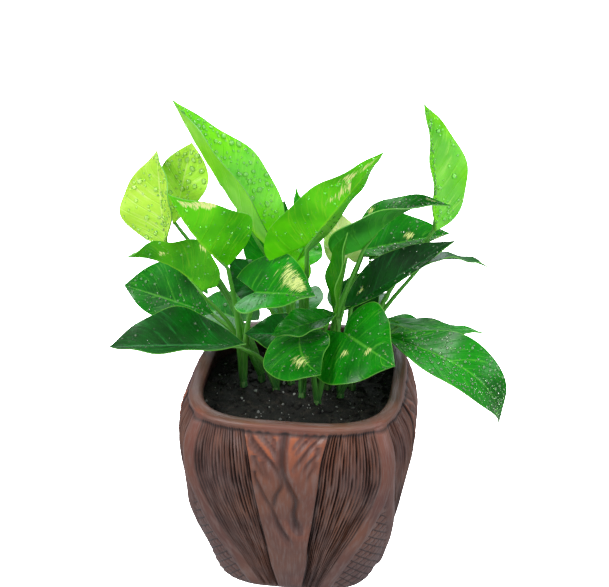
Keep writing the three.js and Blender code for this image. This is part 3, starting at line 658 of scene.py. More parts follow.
def stained_clay(settings):
    """Fired clay under a dark stain: near black in its cuts, with painted shade, rubbed to orange
    on its edges, partly as painted highlight, and with patches of painted reddish sheen.
    """
    material, add = new_material("stained_fired_clay")
    place = add("TexCoord")[3]
    height = add("SeparateXYZ", {0: place})[2]
    stain_and_shade, raised, red_sheen, netted, arc = (
        add("Attribute", attribute_name=name)[2] for name in CLAY_ATTRIBUTES)

    # grain along the grooves, patches of about 36 mm, and grit, which is drawn 1.4 mm across
    # because its real 0.3 mm would be too fine to show
    along = add("Mapping", {0: add("UVMap", uv_map="UVMap")[0], 3: (1.0, 0.06, 1.0)})[0]
    grain = add("TexNoise", {"Vector": along, "Scale": 1.6, "Detail": 4.0})[0]
    cloud = add("TexNoise", {"Vector": place, "Scale": 28.0, "Detail": 4.0})[0]
    grit = add("TexNoise", {"Vector": place, "Scale": 700.0, "Detail": 3.0})[0]

    # the cut lines of the net lean both ways
    scaled = add("Math", {0: height, 1: 1 / settings.net_pitch}, operation="MULTIPLY")[0]
    spread = NET_SLOPE * MM / settings.net_pitch
    lines = []
    for lean in (spread, -spread):
        where = add("Math", {0: arc, 1: lean, 2: scaled}, operation="MULTIPLY_ADD")[0]
        whole = add("Math", {0: where}, operation="FRACT")[0]
        near = add("Math", {0: whole, 1: 0.5}, operation="SUBTRACT")[0]
        lines.append(add("Math", {0: near}, operation="ABSOLUTE")[0])
    either = add("Math", {0: lines[0], 1: lines[1]}, operation="MAXIMUM")[0]
    line = add("MapRange", {0: either, 1: 0.37, 2: 0.46})[0]
    line = add("Math", {0: line, 1: netted}, operation="MULTIPLY")[0]

    low = add("MapRange", {0: height, 1: 4 * MM, 2: 34 * MM, 3: 0.9, 4: 0.0})[0]
    foot, red, rub_and_highlight = (
        add("Math", {0: where, 1: cloud}, operation="MULTIPLY")[0] for where in (low, red_sheen, raised))
    cut = add("Math", {0: line, 1: 0.75, 2: stain_and_shade}, operation="MULTIPLY_ADD")[0]
    colour = lay_over(add, (*settings.clay, 1), (
        (cloud, 0.36, 0.64, 0.9, to_linear("#54423E")),
        (foot, 0.0, 1.0, 1.0, to_linear("#3C3A40")),
        # a painted reddish sheen, in patches
        (red, 0.0, 1.0, 1.0, to_linear("#9C4A34")),
        (grain, 0.46, 0.7, 0.6, to_linear("#8C746C")),
        # rubbed orange on raised parts, partly a painted highlight
        (rub_and_highlight, 0.26, 0.5, 0.85, (*settings.rubbed, 1)),
        # the stain in the cuts and the net's lines, deepened by painted shade
        (cut, 0.12, 0.85, 0.94, (*settings.stain_and_shade, 1))))
    roughness = add("MapRange", {0: cloud, 1: 0.3, 2: 0.7, 3: 0.34, 4: 0.56})[0]
    fine = add("Math", {0: grit, 1: 0.3, 2: grain}, operation="MULTIPLY_ADD")[0]
    fine = add("Math", {0: line, 1: -0.8, 2: fine}, operation="MULTIPLY_ADD")[0]
    normal = add("Bump", {"Height": fine, "Strength": 0.5, "Distance": 0.6 * MM})[0]
    close_material(add, colour, roughness, normal, ior=1.5, coat_weight=0.25, coat_roughness=0.4)
    return material


def moist_peat(settings):
    """Moist peat: almost black, matt, of crumbs and fibres."""
    material, add = new_material("moist_peat")

    # crumbs of about 4 mm, which break up into finer ones
    crumbs = add("TexNoise", {
        "Vector": add("TexCoord")[3], "Scale": 260.0, "Detail": 6.0, "Roughness": 0.7})[0]
    colour = lay_over(add, (*settings.peat, 1), ((crumbs, 0.5, 0.78, 0.85, to_linear("#4A4238")),))
    normal = add("Bump", {"Height": crumbs, "Strength": 0.9, "Distance": 1.2 * MM})[0]
    close_material(add, colour, 0.85, normal, ior=1.4)
    return material


def pale_grit():
    """Grains of pumice and lime: dull grey to white against the peat."""
    material, add = new_material("pale_grit")
    spread = add("TexNoise", {"Vector": add("TexCoord")[3], "Scale": 160.0})[0]  # about 6 mm
    colour = lay_over(add, to_linear("#4B4C48"), ((spread, 0.35, 0.65, 1.0, to_linear("#A9ABA4")),))
    normal = add("Bump", {"Height": spread, "Strength": 0.4, "Distance": 0.4 * MM})[0]
    close_material(add, colour, 0.8, normal, ior=1.45)
    return material


def matt_backdrop(settings):
    """Painted board, lit so that it shows as plain white."""
    material, add = new_material("matt_backdrop")

    # its tooth is drawn 2.5 mm across, because a real one would be too fine to show
    tooth = add("TexNoise", {"Vector": add("TexCoord")[3], "Scale": 400.0})[0]
    normal = add("Bump", {"Height": tooth, "Strength": 0.02, "Distance": 0.1 * MM})[0]
    close_material(
        add, (*settings.backdrop, 1), 0.9, normal, ior=1.45,
        emission_color=(1, 1, 1, 1), emission_strength=4.5)
    return material


# ------------------------------------------------------------------ the form of a leaf


class Blade:
    """The surface of a blade: u runs across from -1 to 1, t along from 0 to 1."""

    TAPER = 1.15  # how hollow the outline runs out to the tip
    WAVES = 2.5  # ripples along the rim
    LEFT_PHASE = 2  # keeps the two halves from rippling alike
    CREASE = 0.5  # depth of the fold along the midrib
    QUILT = 0.2  # how far the blade swells between two side veins
    STALK_DEPTH = 1.2  # how far under the midrib the stalk ends

    def __init__(self, leaf, veins):
        self.leaf = leaf
        self.veins = veins
        self.base = Vector(leaf["base"])
        self.axis = Vector(leaf["tip"]) - self.base
        self.length = self.axis.length
        forward = self.axis.normalized()
        up = (Vector((0, 0, 1)) - forward * forward.z).normalized()
        self.up = Quaternion(forward, math.radians(leaf.get("roll", 0))) @ up
        self.right = forward.cross(self.up)
        self.widest = leaf.get("widest", 0.27)
        self.base_power = self.TAPER * self.widest / (1 - self.widest)

    def midrib(self, t):
        """A place on the midrib. The factors make the greatest arch, bend or droop 1."""
        bulge = self.leaf.get("arch", 0) * 4 * t * (1 - t)
        bulge += self.leaf.get("droop", 0) * 6.75 * t * t * (1 - t)
        bend = self.leaf.get("bend", 0) * 4 * t * (1 - t)
        return self.base + self.axis * t + self.length * (self.up * bulge + self.right * bend)

    def outline(self, t):
        """The width here, before it is scaled."""
        return t**self.base_power * (1 - t) ** self.TAPER

    def half_width(self, t):
        """Half the blade's width here, in millimetres."""
        return 0.5 * self.leaf["width"] * self.outline(t) / self.outline(self.widest)

    def frame(self, t):
        """Directions along the midrib, to the right and out of the upper side."""
        tangent = (self.midrib(min(1, t + 0.01)) - self.midrib(max(0, t - 0.01))).normalized()
        side = (self.right - tangent * self.right.dot(tangent)).normalized()
        side = Quaternion(tangent, math.radians(self.leaf.get("twist", 0)) * t) @ side
        return tangent, side, side.cross(tangent)

    def point(self, u, t):
        """A place on the blade, folded, rippled and quilted."""
        leaf = self.leaf
        tangent, side, normal = self.frame(t)
        sign = (u > 0) - (u < 0)
        fold = math.radians(leaf.get("fold", 0))
        reach = abs(u) * self.half_width(t) * (1 + leaf.get("uneven", 0) * sign)
        phase = 2 * math.pi * self.WAVES * t + (0 if u > 0 else self.LEFT_PHASE)
        ripple = leaf.get("wave", 1) * u * u * math.sin(phase) * min(1, 6 * (1 - t))
        swell = math.sin(self.veins * math.pi * (t - VEIN_LEAN * abs(u))) ** 2
        crease = math.exp(-((u / 0.08) ** 2)) * (1 - t)
        relief = self.QUILT * swell * (1 - u * u) - self.CREASE * crease
        relief *= min(1, reach / 4 + self.half_width(t) / 8) * min(1, 8 * t)
        lobe = leaf.get("lobe", 0.16) * (1 + leaf.get("skew", 0) * sign)
        back = self.length * lobe * (1 - t) ** 4 * abs(u) ** 1.5 if t > 0 else 0
        return (self.midrib(t) + side * (sign * reach * math.cos(fold))
                + normal * (reach * math.sin(fold) + ripple + relief) - tangent * back)

    def normal(self, u, t):
        """Out of the upper side at this place."""
        step = 0.02
        along = self.point(u, min(1, t + step)) - self.point(u, max(0.001, t - step))
        across = self.point(u + step, t) - self.point(u - step, t)
        return across.cross(along).normalized()

    def stalk_end(self):
        """Where the stalk meets the blade's under side."""
        _, _, normal = self.frame(0)
        return self.base - normal * self.STALK_DEPTH


def cream_at(marks, u, t):
    """How much of a pale mark lies here, from 0 to 1."""
    parts = (math.exp(-((u - mu) ** 2 + (2 * (t - mt)) ** 2) / size**2) for mu, mt, size in marks)
    return min(1.0, sum(parts))


CROWDING = 1.3  # rows lie closer together towards the base


def make_blade(leaf, seed, settings, materials):
    """One leaf: a sheet laid along its midrib, given its thickness."""
    blade = Blade(leaf, settings.veins)
    columns, rows = settings.columns, settings.rows
    sheet = add_sheet(f"blade_{leaf['name']}", columns, rows)
    layer = sheet.data.uv_layers[0]
    layer.name = "UVMap"
    places = [(2 * v.co.x, clamp01(v.co.y + 0.5) ** CROWDING) for v in sheet.data.vertices]
    for loop in sheet.data.loops:
        u, t = places[loop.vertex_index]
        layer.data[loop.index].uv = ((u + 1) / 2, t)
    for vertex, (u, t) in zip(sheet.data.vertices, places):
        vertex.co = blade.point(u, t) * MM
    # each point carries its leaf's painted shade
    marks, painted_shade = leaf.get("cream", []), leaf.get("shade", 0.0)
    numbers = [(seed, cream_at(marks, u, t), painted_shade) for u, t in places]
    for name, values in zip(LEAF_ATTRIBUTES, zip(*numbers)):
        set_attribute(sheet.data, name, values)

    with editing(sheet):
        bpy.ops.mesh.remove_doubles(threshold=0.02 * MM)
    for material in materials:
        sheet.data.materials.append(material)
    wall = sheet.modifiers.new("thickness", "SOLIDIFY")
    wall.thickness = settings.thickness
    wall.offset = 0
    wall.material_offset = 1
    wall.material_offset_rim = 2
    bpy.ops.object.modifier_apply(modifier=wall.name)
    shade(sheet)
    finish_piece(sheet, node=f"leaf_{leaf['name']}")


class POTHOS_OT_leaves(Operator):
    """Make the leaves, each a thin waxy blade with its veins and pale marks"""

    bl_idname = "pothos.leaves"
    bl_label = "Leaves"

    def execute(self, context):
        settings = context.scene.pothos.leaf
        rim = leaf_rim()
        finishes = {
            tint: (waxy_leaf_upper(tint, settings.veins), matt_leaf_under(tint, settings.veins), rim)
            for tint in TINTS
        }
        for number, leaf in enumerate(LEAVES):
            make_blade(leaf, 3.7 * number, settings, finishes[leaf["tint"]])
        return {"FINISHED"}


# ------------------------------------------------------------------ water on the leaves

DROP_TRIES = 6  # places that are tried for each drop


def make_drop():
    """One drop of water: the upper part of a flattened ball, closed below."""
    drop = add_primitive(
        bpy.ops.mesh.primitive_uv_sphere_add, segments=8, ring_count=6, radius=1)
    with editing(drop):
        bpy.ops.transform.resize(value=(1, 1, 0.7))
        bpy.ops.mesh.bisect(
            plane_co=(0, 0, -0.12), plane_no=(0, 0, 1), use_fill=True, clear_inner=True)
    # how far out from the middle each point lies, for the painted dark edge of the water
    set_attribute(drop.data, "painted_edge_shade", [math.hypot(v.co.x, v.co.y) for v in drop.data.vertices])
    return drop


def drop_places(leaf, settings, seed):
    """Where the drops of one leaf lie, none over another, as matrices."""
    blade = Blade(leaf, settings.veins)
    draw = random.Random(seed)
    count = round(leaf["drops"] * settings.drop_share)
    laid, places = [], []
    for _ in range(count * DROP_TRIES):
        if len(laid) >= count:
            break
        # clear of the rim, where the blade is wide enough for it, and not over another
        u, t = draw.uniform(-0.93, 0.93), draw.uniform(0.06, 0.95)
        radius = leaf.get("fine", 1) * (0.55 + 1.25 * draw.random() ** 2)
        if blade.half_width(t) < 2.5 * radius:
            continue
        spot = blade.point(u, t)
        normal = blade.normal(u, t) * (-1 if leaf.get("wet_under") else 1)
        if any((spot - other).length < 1.05 * (radius + size) for other, size in laid):
            continue
        laid.append((spot, radius))
        spin = Quaternion(normal, draw.uniform(0, math.pi))
        turn = spin @ Vector((0, 0, 1)).rotation_difference(normal)
        long = draw.uniform(1, 1.35)
        centre = (spot + normal * (settings.thickness / MM / 2 + 0.08 * radius)) * MM
        size = Matrix.Diagonal((radius * MM * long, radius * MM, radius * MM, 1))
        places.append(Matrix.Translation(centre) @ turn.to_matrix().to_4x4() @ size)
    return places


class POTHOS_OT_drops(Operator):
    """Lay drops of water on the leaves"""

    bl_idname = "pothos.drops"
    bl_label = "Drops of water"

    def execute(self, context):
        settings = context.scene.pothos.leaf
        water = clear_water()
        template = make_drop()
        for number, leaf in enumerate(LEAVES):
            if leaf.get("drops"):
                places = drop_places(leaf, settings, 100 + number)
                drops = copies_of(template, places, f"drops_{leaf['name']}")
                shade(drops, 50)
                finish_piece(drops, [water])
        bpy.data.objects.remove(template)
        return {"FINISHED"}


# ------------------------------------------------------------------ stems and stalks

VINE_RADIUS = 2.8
VINE_FOOT = 96
VINE_STEPS = 8
CROWN = SOIL_TOP + SOIL_MOUND + 6  # height of a stem's top
SUNK = 2.5  # how far below it a stalk starts
STALK_SIDES = 12
STALK_STEPS = 26
CHANNEL_DEPTH = 0.5  # of the groove along a stalk's upper side, as a part of its radius
CHANNEL_WIDTH = 0.55  # and half its width, in radians
STALK_LEAN = 0.4  # where a stalk without a via passes: this part of the way across
STALK_RISE = 0.55  # and this part of the way up
MIDRIB_PLACES = (0.04, 0.09, 0.15, 0.22)  # the stalk runs on under the blade as far as this


def through(points, t):
    """A place on the centripetal curve through some points, t from 0 to 1."""
    count = len(points)
    where = min(t, 0.999999) * (count - 1)
    i = int(where)
    weight = where - i
    p1, p2 = points[i], points[i + 1]
    p0 = points[i - 1] if i else p1 * 2 - p2
    p3 = points[i + 2] if i + 2 < count else p2 * 2 - p1
    d0, d1, d2 = ((b - a).length ** 0.5 for a, b in ((p0, p1), (p1, p2), (p2, p3)))
    m1 = ((p1 - p0) / d0 - (p2 - p0) / (d0 + d1) + (p2 - p1) / d1) * d1
    m2 = ((p2 - p1) / d1 - (p3 - p1) / (d1 + d2) + (p3 - p2) / d2) * d1
    w2, w3 = weight**2, weight**3
    return p1 + m1 * weight + (p2 * 3 - p1 * 3 - m1 * 2 - m2) * w2 + (p1 * 2 - p2 * 2 + m1 + m2) * w3


def make_tube(name, spine, radius_at, channel=0.0):
    """A closed tube along a spine. channel cuts a groove along its upper side."""
    steps = len(spine) - 1
    tube = add_sheet(name, STALK_SIDES, steps)
    tube.data.uv_layers[0].name = "UVMap"
    tangents = [
        (spine[min(steps, k + 1)] - spine[max(0, k - 1)]).normalized() for k in range(steps + 1)]
    across = tangents[0].orthogonal().normalized()
    up = Vector((0, 0, 1))
    frames = []
    for tangent in tangents:
        upright = up - tangent * up.dot(tangent)
        if upright.length > 0.15:
            across = tangent.cross(upright).normalized()
        else:  # almost upright, so it keeps the direction that it had
            across = (across - tangent * across.dot(tangent)).normalized()
        frames.append((across, across.cross(tangent)))

    def place(column, row):
        side, top = frames[row]
        turn = 2 * math.pi * column / STALK_SIDES
        radius = radius_at(row / steps)
        cut = 1 - channel * math.exp(-(((turn - math.pi / 2) / CHANNEL_WIDTH) ** 2))
        return spine[row] + (side * math.cos(turn) + top * (math.sin(turn) * cut)) * radius

    shape_sheet(tube, STALK_SIDES, steps, place)
    merge_and_turn_out(tube)
    fill_open_edges(tube)
    return tube


def stalk_spine(leaf, veins):
    """The line of a stalk, from inside its stem to where it becomes the midrib."""
    x, y = STEMS[leaf["stem"]]
    base = Vector(leaf["base"])
    usual = (
        x + STALK_LEAN * (base.x - x), y + STALK_LEAN * (base.y - y),
        CROWN + STALK_RISE * (base.z - CROWN))
    blade = Blade(leaf, veins)
    points = [Vector((x, y, CROWN - SUNK)), Vector(leaf.get("via", usual)), blade.stalk_end()]
    spine = [through(points, k / STALK_STEPS) for k in range(STALK_STEPS + 1)]
    for t in MIDRIB_PLACES:
        _, _, normal = blade.frame(t)
        spine.append(blade.midrib(t) - normal * (1.0 - 1.5 * t))
    return spine


def vine_radius(s):
    """The radius of a stem, s from 0 at its foot to 1 at its rounded top."""
    return VINE_RADIUS * math.sqrt(1.04 - s**5)


def stalk_radius(settings, strap):
    """The radius along a stalk, which has a sheath at its foot and thins out under its blade."""
    root, tip = settings.root_radius / MM, settings.tip_radius / MM
    grown = STALK_STEPS / (STALK_STEPS + len(MIDRIB_PLACES))

    def radius_at(s):
        if s > grown:
            return tip * (1 - 0.8 * (s - grown) / (1 - grown))
        part = s / grown
        sheath = 0.5 * (1 - part) ** 2
        return (root + (tip - root) * part) * (1 + sheath * (strap - 0.4))

    return radius_at


class POTHOS_OT_stems(Operator):
    """Make the short stems in the soil with the leaf stalks that grow from them"""

    bl_idname = "pothos.stems"
    bl_label = "Stems and stalks"

    def execute(self, context):
        settings = context.scene.pothos.stalk
        veins = context.scene.pothos.leaf.veins
        stalk_finish = green_stalk(settings)
        for letter, (x, y) in STEMS.items():
            rise = (CROWN - VINE_FOOT) / VINE_STEPS
            trunk = [Vector((x, y, VINE_FOOT + rise * k)) for k in range(VINE_STEPS + 1)]
            tubes = [make_tube(f"shoot_{letter}", trunk, vine_radius)]
            for leaf in LEAVES:
                if leaf["stem"] == letter:
                    spine = stalk_spine(leaf, veins)
                    radius_at = stalk_radius(settings, leaf.get("strap", 1.0))
                    tubes.append(
                        make_tube(f"stalk_{leaf['name']}", spine, radius_at, CHANNEL_DEPTH))
            select_only(*tubes[1:], tubes[0])
            bpy.ops.object.join()
            shade(tubes[0], 50)
            finish_piece(tubes[0], [stalk_finish], f"stem_{letter}")
        return {"FINISHED"}


# ------------------------------------------------------------------ soil


def plan_point(turn):
    """The pot's plan, a square with round corners, for a half width of 1."""
    c, s = math.cos(turn), math.sin(turn)
    reach = (abs(c) ** SQUARENESS + abs(s) ** SQUARENESS) ** (-1 / SQUARENESS)
    return Vector((reach * c, reach * s, 0))


def soil_height(x, y):
    """The surface of the peat: a low mound with lumps of about 11 and 4 mm."""
    out = min(1.0, math.hypot(x, y) / SOIL_REACH)
    lumps = 1.3 * noise.noise(Vector((x / 11, y / 11, 3.1)))
    lumps += 0.9 * noise.noise(Vector((x / 4, y / 4, 8.2)))
    heap = 1.6 * math.exp(-((x + 33) ** 2 + (y + 22) ** 2) / 60)  # at the front left
    return SOIL_TOP + SOIL_MOUND * (1 - out * out) + lumps + heap


class POTHOS_OT_soil(Operator):
    """Fill the pot with peat up to a finger below its lip"""

    bl_idname = "pothos.soil"
    bl_label = "Peat"

    def execute(self, context):
        settings = context.scene.pothos.soil
        wall = look_up(POT_INSIDE, SOIL_TOP)
        edge = wall - SOIL_GAP
        soil = add_sheet("peat_fill", SOIL_STEPS, SOIL_STEPS)

        def place(column, row):
            x, y = 2 * column / SOIL_STEPS - 1, 2 * row / SOIL_STEPS - 1
            size = max(abs(x), abs(y))
            flat = plan_point(math.atan2(y, x)) * (edge * size) if size else Vector((0, 0, 0))
            top = soil_height(flat.x, flat.y)
            flat.z = top + (SOIL_TOP - top) * smooth_step(0.9, 1, size)
            return flat

        shape_sheet(soil, SOIL_STEPS, SOIL_STEPS, place)

        # the rim of the surface is drawn down along the wall to the floor
        rings = [(SOIL_TOP, wall)] + [ring for ring in reversed(POT_INSIDE) if ring[0] < SOIL_TOP]
        with editing(soil):
            bpy.ops.mesh.select_mode(type="EDGE")
            bpy.ops.mesh.select_non_manifold(extend=False)
            for (high, wide), (low, narrow) in zip(rings, rings[1:]):
                drop = max(low, SOIL_FLOOR) - high
                shrink = (narrow - SOIL_GAP) / (wide - SOIL_GAP)
                bpy.ops.mesh.extrude_edges_move(TRANSFORM_OT_translate={"value": (0, 0, drop * MM)})
                bpy.ops.transform.resize(value=(shrink, shrink, 1), center_override=(0, 0, 0))
        fill_open_edges(soil)
        shade(soil, 70)
        finish_piece(soil, [moist_peat(settings)], "soil")
        return {"FINISHED"}


def strew_grains(name, count, smallest, largest, seed):
    """Rough grains that lie on the peat, as one mesh."""
    grain = add_primitive(bpy.ops.mesh.primitive_ico_sphere_add, subdivisions=1, radius=1)
    draw = random.Random(seed)
    for vertex in grain.data.vertices:
        vertex.co *= draw.uniform(0.75, 1.2)
    places = []
    for _ in range(count):
        part, turn = math.sqrt(draw.random()), draw.uniform(0, 2 * math.pi)
        spot = plan_point(turn) * (part * GRAIN_REACH)
        size = smallest + (largest - smallest) * draw.random() ** 3
        spot.z = soil_height(spot.x, spot.y) + 0.2 * size
        spin = Quaternion(Vector((draw.random(), draw.random(), draw.random())), draw.uniform(0, 6))
        shape = Matrix.Diagonal((size * MM * draw.uniform(0.8, 1.6), size * MM, size * MM * 0.8, 1))
        places.append(Matrix.Translation(spot * MM) @ spin.to_matrix().to_4x4() @ shape)
    grains = copies_of(grain, places, name)
    bpy.data.objects.remove(grain)
    return grains


class POTHOS_OT_grains(Operator):
    """Scatter crumbs of peat and pale grit on the soil"""

    bl_idname = "pothos.grains"
    bl_label = "Crumbs and grit"

    def execute(self, context):
        settings = context.scene.pothos.soil
        crumbs = strew_grains("peat_crumbs", settings.crumbs, 0.5, 2.6, 5)
        grit = strew_grains("pale_grit", settings.grit, 0.35, 1.3, 6)
        for piece, material in ((crumbs, bpy.data.materials["moist_peat"]), (grit, pale_grit())):
            shade(piece, 30)
            finish_piece(piece, [material])
        return {"FINISHED"}


# ------------------------------------------------------------------ pot


def groove_value(x, y, z):
    """Smooth noise from 0 to 1."""
    return 0.5 + 0.5 * noise.noise(Vector((x, y, z)))


class PotWall:
    """The carved wall. Its columns follow the flow of the bark, so that no groove is stepped."""

    def __init__(self, settings):
        self.groove_depth = settings.groove_depth / MM
        self.pitch = settings.net_pitch / MM
        self.bark_columns = settings.grooves * GROOVE_COLUMNS
        self.half_side = ROOT_COLUMNS + self.bark_columns + CORNER_COLUMNS
        self.columns = 8 * self.half_side
        self.rows = [(None, OUTSIDE_TOP * k / OUTSIDE_ROWS) for k in range(OUTSIDE_ROWS + 1)]
        self.rows += LIP_ROUND
        self.rows += [(curve_up(POT_INSIDE, height), height) for height in INSIDE_HEIGHTS]

    def edges(self, height):
        """How far across a side the root ends, and the bark."""
        return curve_up(ROOT_EDGE, height), curve_up(BARK_EDGE, height)

    def across(self, column, height):
        """Which side of the pot, the column from its middle, and how far across (-1 to 1)."""
        face, local = divmod(column, 2 * self.half_side)
        step = local - self.half_side
        k = abs(step)
        root, bark = self.edges(height)
        if k <= ROOT_COLUMNS:
            s = root * k / ROOT_COLUMNS
        elif k <= ROOT_COLUMNS + self.bark_columns:
            s = root + (bark - root) * (k - ROOT_COLUMNS) / self.bark_columns
        else:
            s = bark + (1 - bark) * (k - ROOT_COLUMNS - self.bark_columns) / CORNER_COLUMNS
        return face % 4, k, math.copysign(s, step)

    def bark(self, face, k, side, height):
        """Depth of the bark's grooves: fine ones all over, and some broken cracks among them."""
        number, phase = divmod(k - ROOT_COLUMNS, GROOVE_COLUMNS)
        shape = math.sin(math.pi * phase / GROOVE_COLUMNS) ** 2
        number += 40 * face + 160 * (side > 0)
        fine = 0.2 + 0.75 * groove_value(number * 5.3, height / 9, 9.5)
        crack = smooth_step(0.5, 0.72, groove_value(number * 3.7, height / 26, 1.5))
        pits = 0.4 + 0.9 * groove_value(number * 7.1, height / 2.5, 4.5)
        root, bark = self.edges(height)
        room = (bark - root) / 0.5
        return self.groove_depth * (fine + 0.8 * crack * pits) * shape * min(1, room)

    def net(self, arc, height):
        """Height of the net's diamonds, which swell between its crossing lines."""
        swell = 1
        for lean in (1, -1):
            swell = min(swell, abs(math.sin(math.pi * (height + lean * NET_SLOPE * arc) / self.pitch)))
        return swell**0.5

    def cuts(self, s, height):
        """Depth of the cuts in the root."""
        depth = 0
        for points, deep, half in ROOT_CUTS:
            top, foot = points[0][1], points[-1][1]
            if foot - 3 < height < top + 3:
                table = [(z, a) for a, z in reversed(points)]
                off = (s - curve_up(table, height)) * ROOT_SPAN
                ends = smooth_step(foot - 3, foot + 6, height)
                depth = max(depth, 1.4 * deep * ends * math.exp(-((off / (1.5 * half)) ** 2)))
        return depth

    def carving(self, column, height):
        """How far the carving stands out here; how dark with stain and painted shade, raised and netted.
        """
        face, k, s = self.across(column, height)
        across = abs(s)
        root, bark = self.edges(height)
        fade = (1 - smooth_step(CARVING_TOP - 2, CARVING_TOP, height)) * smooth_step(0, 6, height)
        rise = ROOT_RISE * (1 - smooth_step(root - 0.03, root + 0.03, across))
        in_bark = clamp01((across - root) / (bark - root))
        rise -= MAIN_GROOVE * math.sin(3 * math.pi * in_bark) ** 2
        ridge = max(0, 1 - ((across - bark) / (RIDGE_WIDTH / 2) - 1) ** 2)
        rise += RIDGE_RISE * ridge
        # a cut is dark with stain and painted shade as it deepens; raised parts are rubbed orange
        stain_and_shade, raised = 0, 0.4 * ridge
        if k <= ROOT_COLUMNS:
            cut = self.cuts(s, height) * min(1, (ROOT_COLUMNS - k) / 2)
            rise -= cut
            stain_and_shade = 0.24 * cut
            # more rubbed orange towards the top, where it is a painted highlight
            raised = (0.5 + 0.4 * smooth_step(85, 122, height)) * (1 - clamp01(cut))
        elif k <= ROOT_COLUMNS + self.bark_columns:
            seam = math.exp(-(((across - root) * CORNER_SPAN - 1.2) ** 2))
            cut = self.bark(face, k, s, height) + 0.7 * seam
            rise -= cut
            stain_and_shade = cut / self.groove_depth
            raised = 0.3 * (1 - clamp01(stain_and_shade))
        netted = smooth_step(RIDGE_WIDTH * 0.8, RIDGE_WIDTH * 1.1, across - bark)
        if netted:
            rise += netted * (NET_RISE * self.net((1 - across) * CORNER_SPAN, height) - NET_BED)
        # painted shade in the groove under the lip
        under_lip = math.exp(-((height - LIP_SEAM) ** 2))
        stain_and_shade += 0.7 * under_lip
        rise = rise * fade - 0.3 * under_lip + WANDER * noise.noise(Vector((s * 2, face, height / 20)))
        return rise, clamp01(stain_and_shade * max(fade, under_lip)), raised * fade, netted * fade

    def finish_at(self, column, row):
        """The numbers that CLAY_ATTRIBUTES names, at one point."""
        half, height = self.rows[row]
        stain_and_shade, raised, netted = 0.75, 0.0, 0.0  # dark with painted shade, as on the inside
        if half is None:
            _, stain_and_shade, raised, netted = self.carving(column, height)
        elif row <= OUTSIDE_ROWS + len(LIP_ROUND):  # painted shade darkens the lip towards the inside
            # its rubbed orange is partly a painted highlight
            stain_and_shade, raised = 0.12 + 0.1 * max(0, row - OUTSIDE_ROWS - 2), 0.54
        # a painted reddish sheen in patches, growing towards the top
        red_sheen = 0.25 + 0.75 * smooth_step(60, 125, height) * groove_value(column / 60, height / 30, 0)
        _, k, s = self.across(column, height)
        if ROOT_COLUMNS < k <= ROOT_COLUMNS + self.bark_columns:
            red_sheen *= 0.4
        return stain_and_shade, raised, red_sheen, netted, (1 - abs(s)) * CORNER_SPAN

    def grain_at(self, column, row):
        """Where a point lies on the clay's grain, which runs up the outside and round the lip."""
        if row <= OUTSIDE_ROWS:
            return column / GROOVE_COLUMNS, self.rows[row][1]
        return row, column * 0.4

    def place(self, column, row):
        """Where a point lies, in millimetres."""
        half, height = self.rows[row]
        face, _, s = self.across(column, height)
        turn = math.radians(-90 + 90 * face + 45 * s)
        direction = plan_point(turn)
        if half is None:
            half = curve_up(POT_OUTSIDE, height) + self.carving(column, height)[0]
        elif height > SOIL_TOP:
            half += WANDER * noise.noise(Vector((direction.x * 1.7, direction.y * 1.7, 2)))
        return direction * half + Vector((0, 0, height))


def drill_holes(pot, clay):
    """Four drain holes, by a drill that reaches from under the foot to above the floor."""
    for k in range(4):
        turn = math.radians(45 + 90 * k)
        drill = add_primitive(
            bpy.ops.mesh.primitive_cylinder_add, vertices=24, radius=DRAIN_RADIUS * MM,
            depth=DRILL_LENGTH * MM, location=(
                DRAIN_OFFSET * MM * math.cos(turn), DRAIN_OFFSET * MM * math.sin(turn),
                DRILL_HEIGHT * MM))
        drill.data.materials.append(clay)
        cut = pot.modifiers.new("drain", "BOOLEAN")
        cut.operation = "DIFFERENCE"
        cut.solver = "MANIFOLD"
        cut.object = drill
        select_only(pot)
        bpy.ops.object.modifier_apply(modifier=cut.name)
        bpy.data.objects.remove(drill)


class POTHOS_OT_pot(Operator):
    """Make the carved clay pot with its drain holes"""

    bl_idname = "pothos.pot"
    bl_label = "Carved pot"

    def execute(self, context):
        settings = context.scene.pothos.pot
        wall = PotWall(settings)
        columns, rows = wall.columns, len(wall.rows) - 1
        pot = add_sheet("carved_pot", columns, rows)
        layer = pot.data.uv_layers[0]
        layer.name = "UVMap"
        grid = grid_places(pot, columns, rows)
        for loop in pot.data.loops:
            layer.data[loop.index].uv = wall.grain_at(*grid[loop.vertex_index])
        numbers = [wall.finish_at(column, row) for column, row in grid]
        for name, values in zip(CLAY_ATTRIBUTES, zip(*numbers)):
            set_attribute(pot.data, name, values)
        shape_sheet(pot, columns, rows, wall.place)
        clay = stained_clay(settings)
        pot.data.materials.append(clay)
        merge_and_turn_out(pot, 0.002 * MM)
        fill_open_edges(pot)
        drill_holes(pot, clay)
        shade(pot, 75)
        finish_piece(pot, node="pot")
        return {"FINISHED"}


# ------------------------------------------------------------------ stage

FLOOR_CELL = 9000  # the floor reaches four of these each way, past the edge of every view

# the other places and sizes on the stage are in metres
CAMERA_PLACE = (0.0790, -0.6218, 0.4923)
CAMERA_TARGET = (0.0026, 0, 0.180)
LIGHT_TARGET = (0, 0, 0.17)

# each light's place, its size, its power beside the key light's, and its colour
LIGHTS = {
    "key": ((-0.7, -0.75, 1.15), 0.45, 1, "#FFFFFF"),
    "top": ((0.1, 0.25, 1.3), 0.5, 0.6, "#FFFFFF"),
    "fill": ((0.95, -0.6, 0.55), 0.6, 0.42, "#F2F6FF"),
    "back": ((-0.3, 1.1, 0.75), 0.7, 0.38, "#F0F8FF"),
}


def add_aimed(name, data, place, target):
    """A light or a camera in its place, turned towards a point."""
    added = bpy.data.objects.new(name, data)
    added.location = place
    added.rotation_mode = "QUATERNION"
    added.rotation_quaternion = (Vector(target) - Vector(place)).to_track_quat("-Z", "Y")
    bpy.context.collection.objects.link(added)
    return added


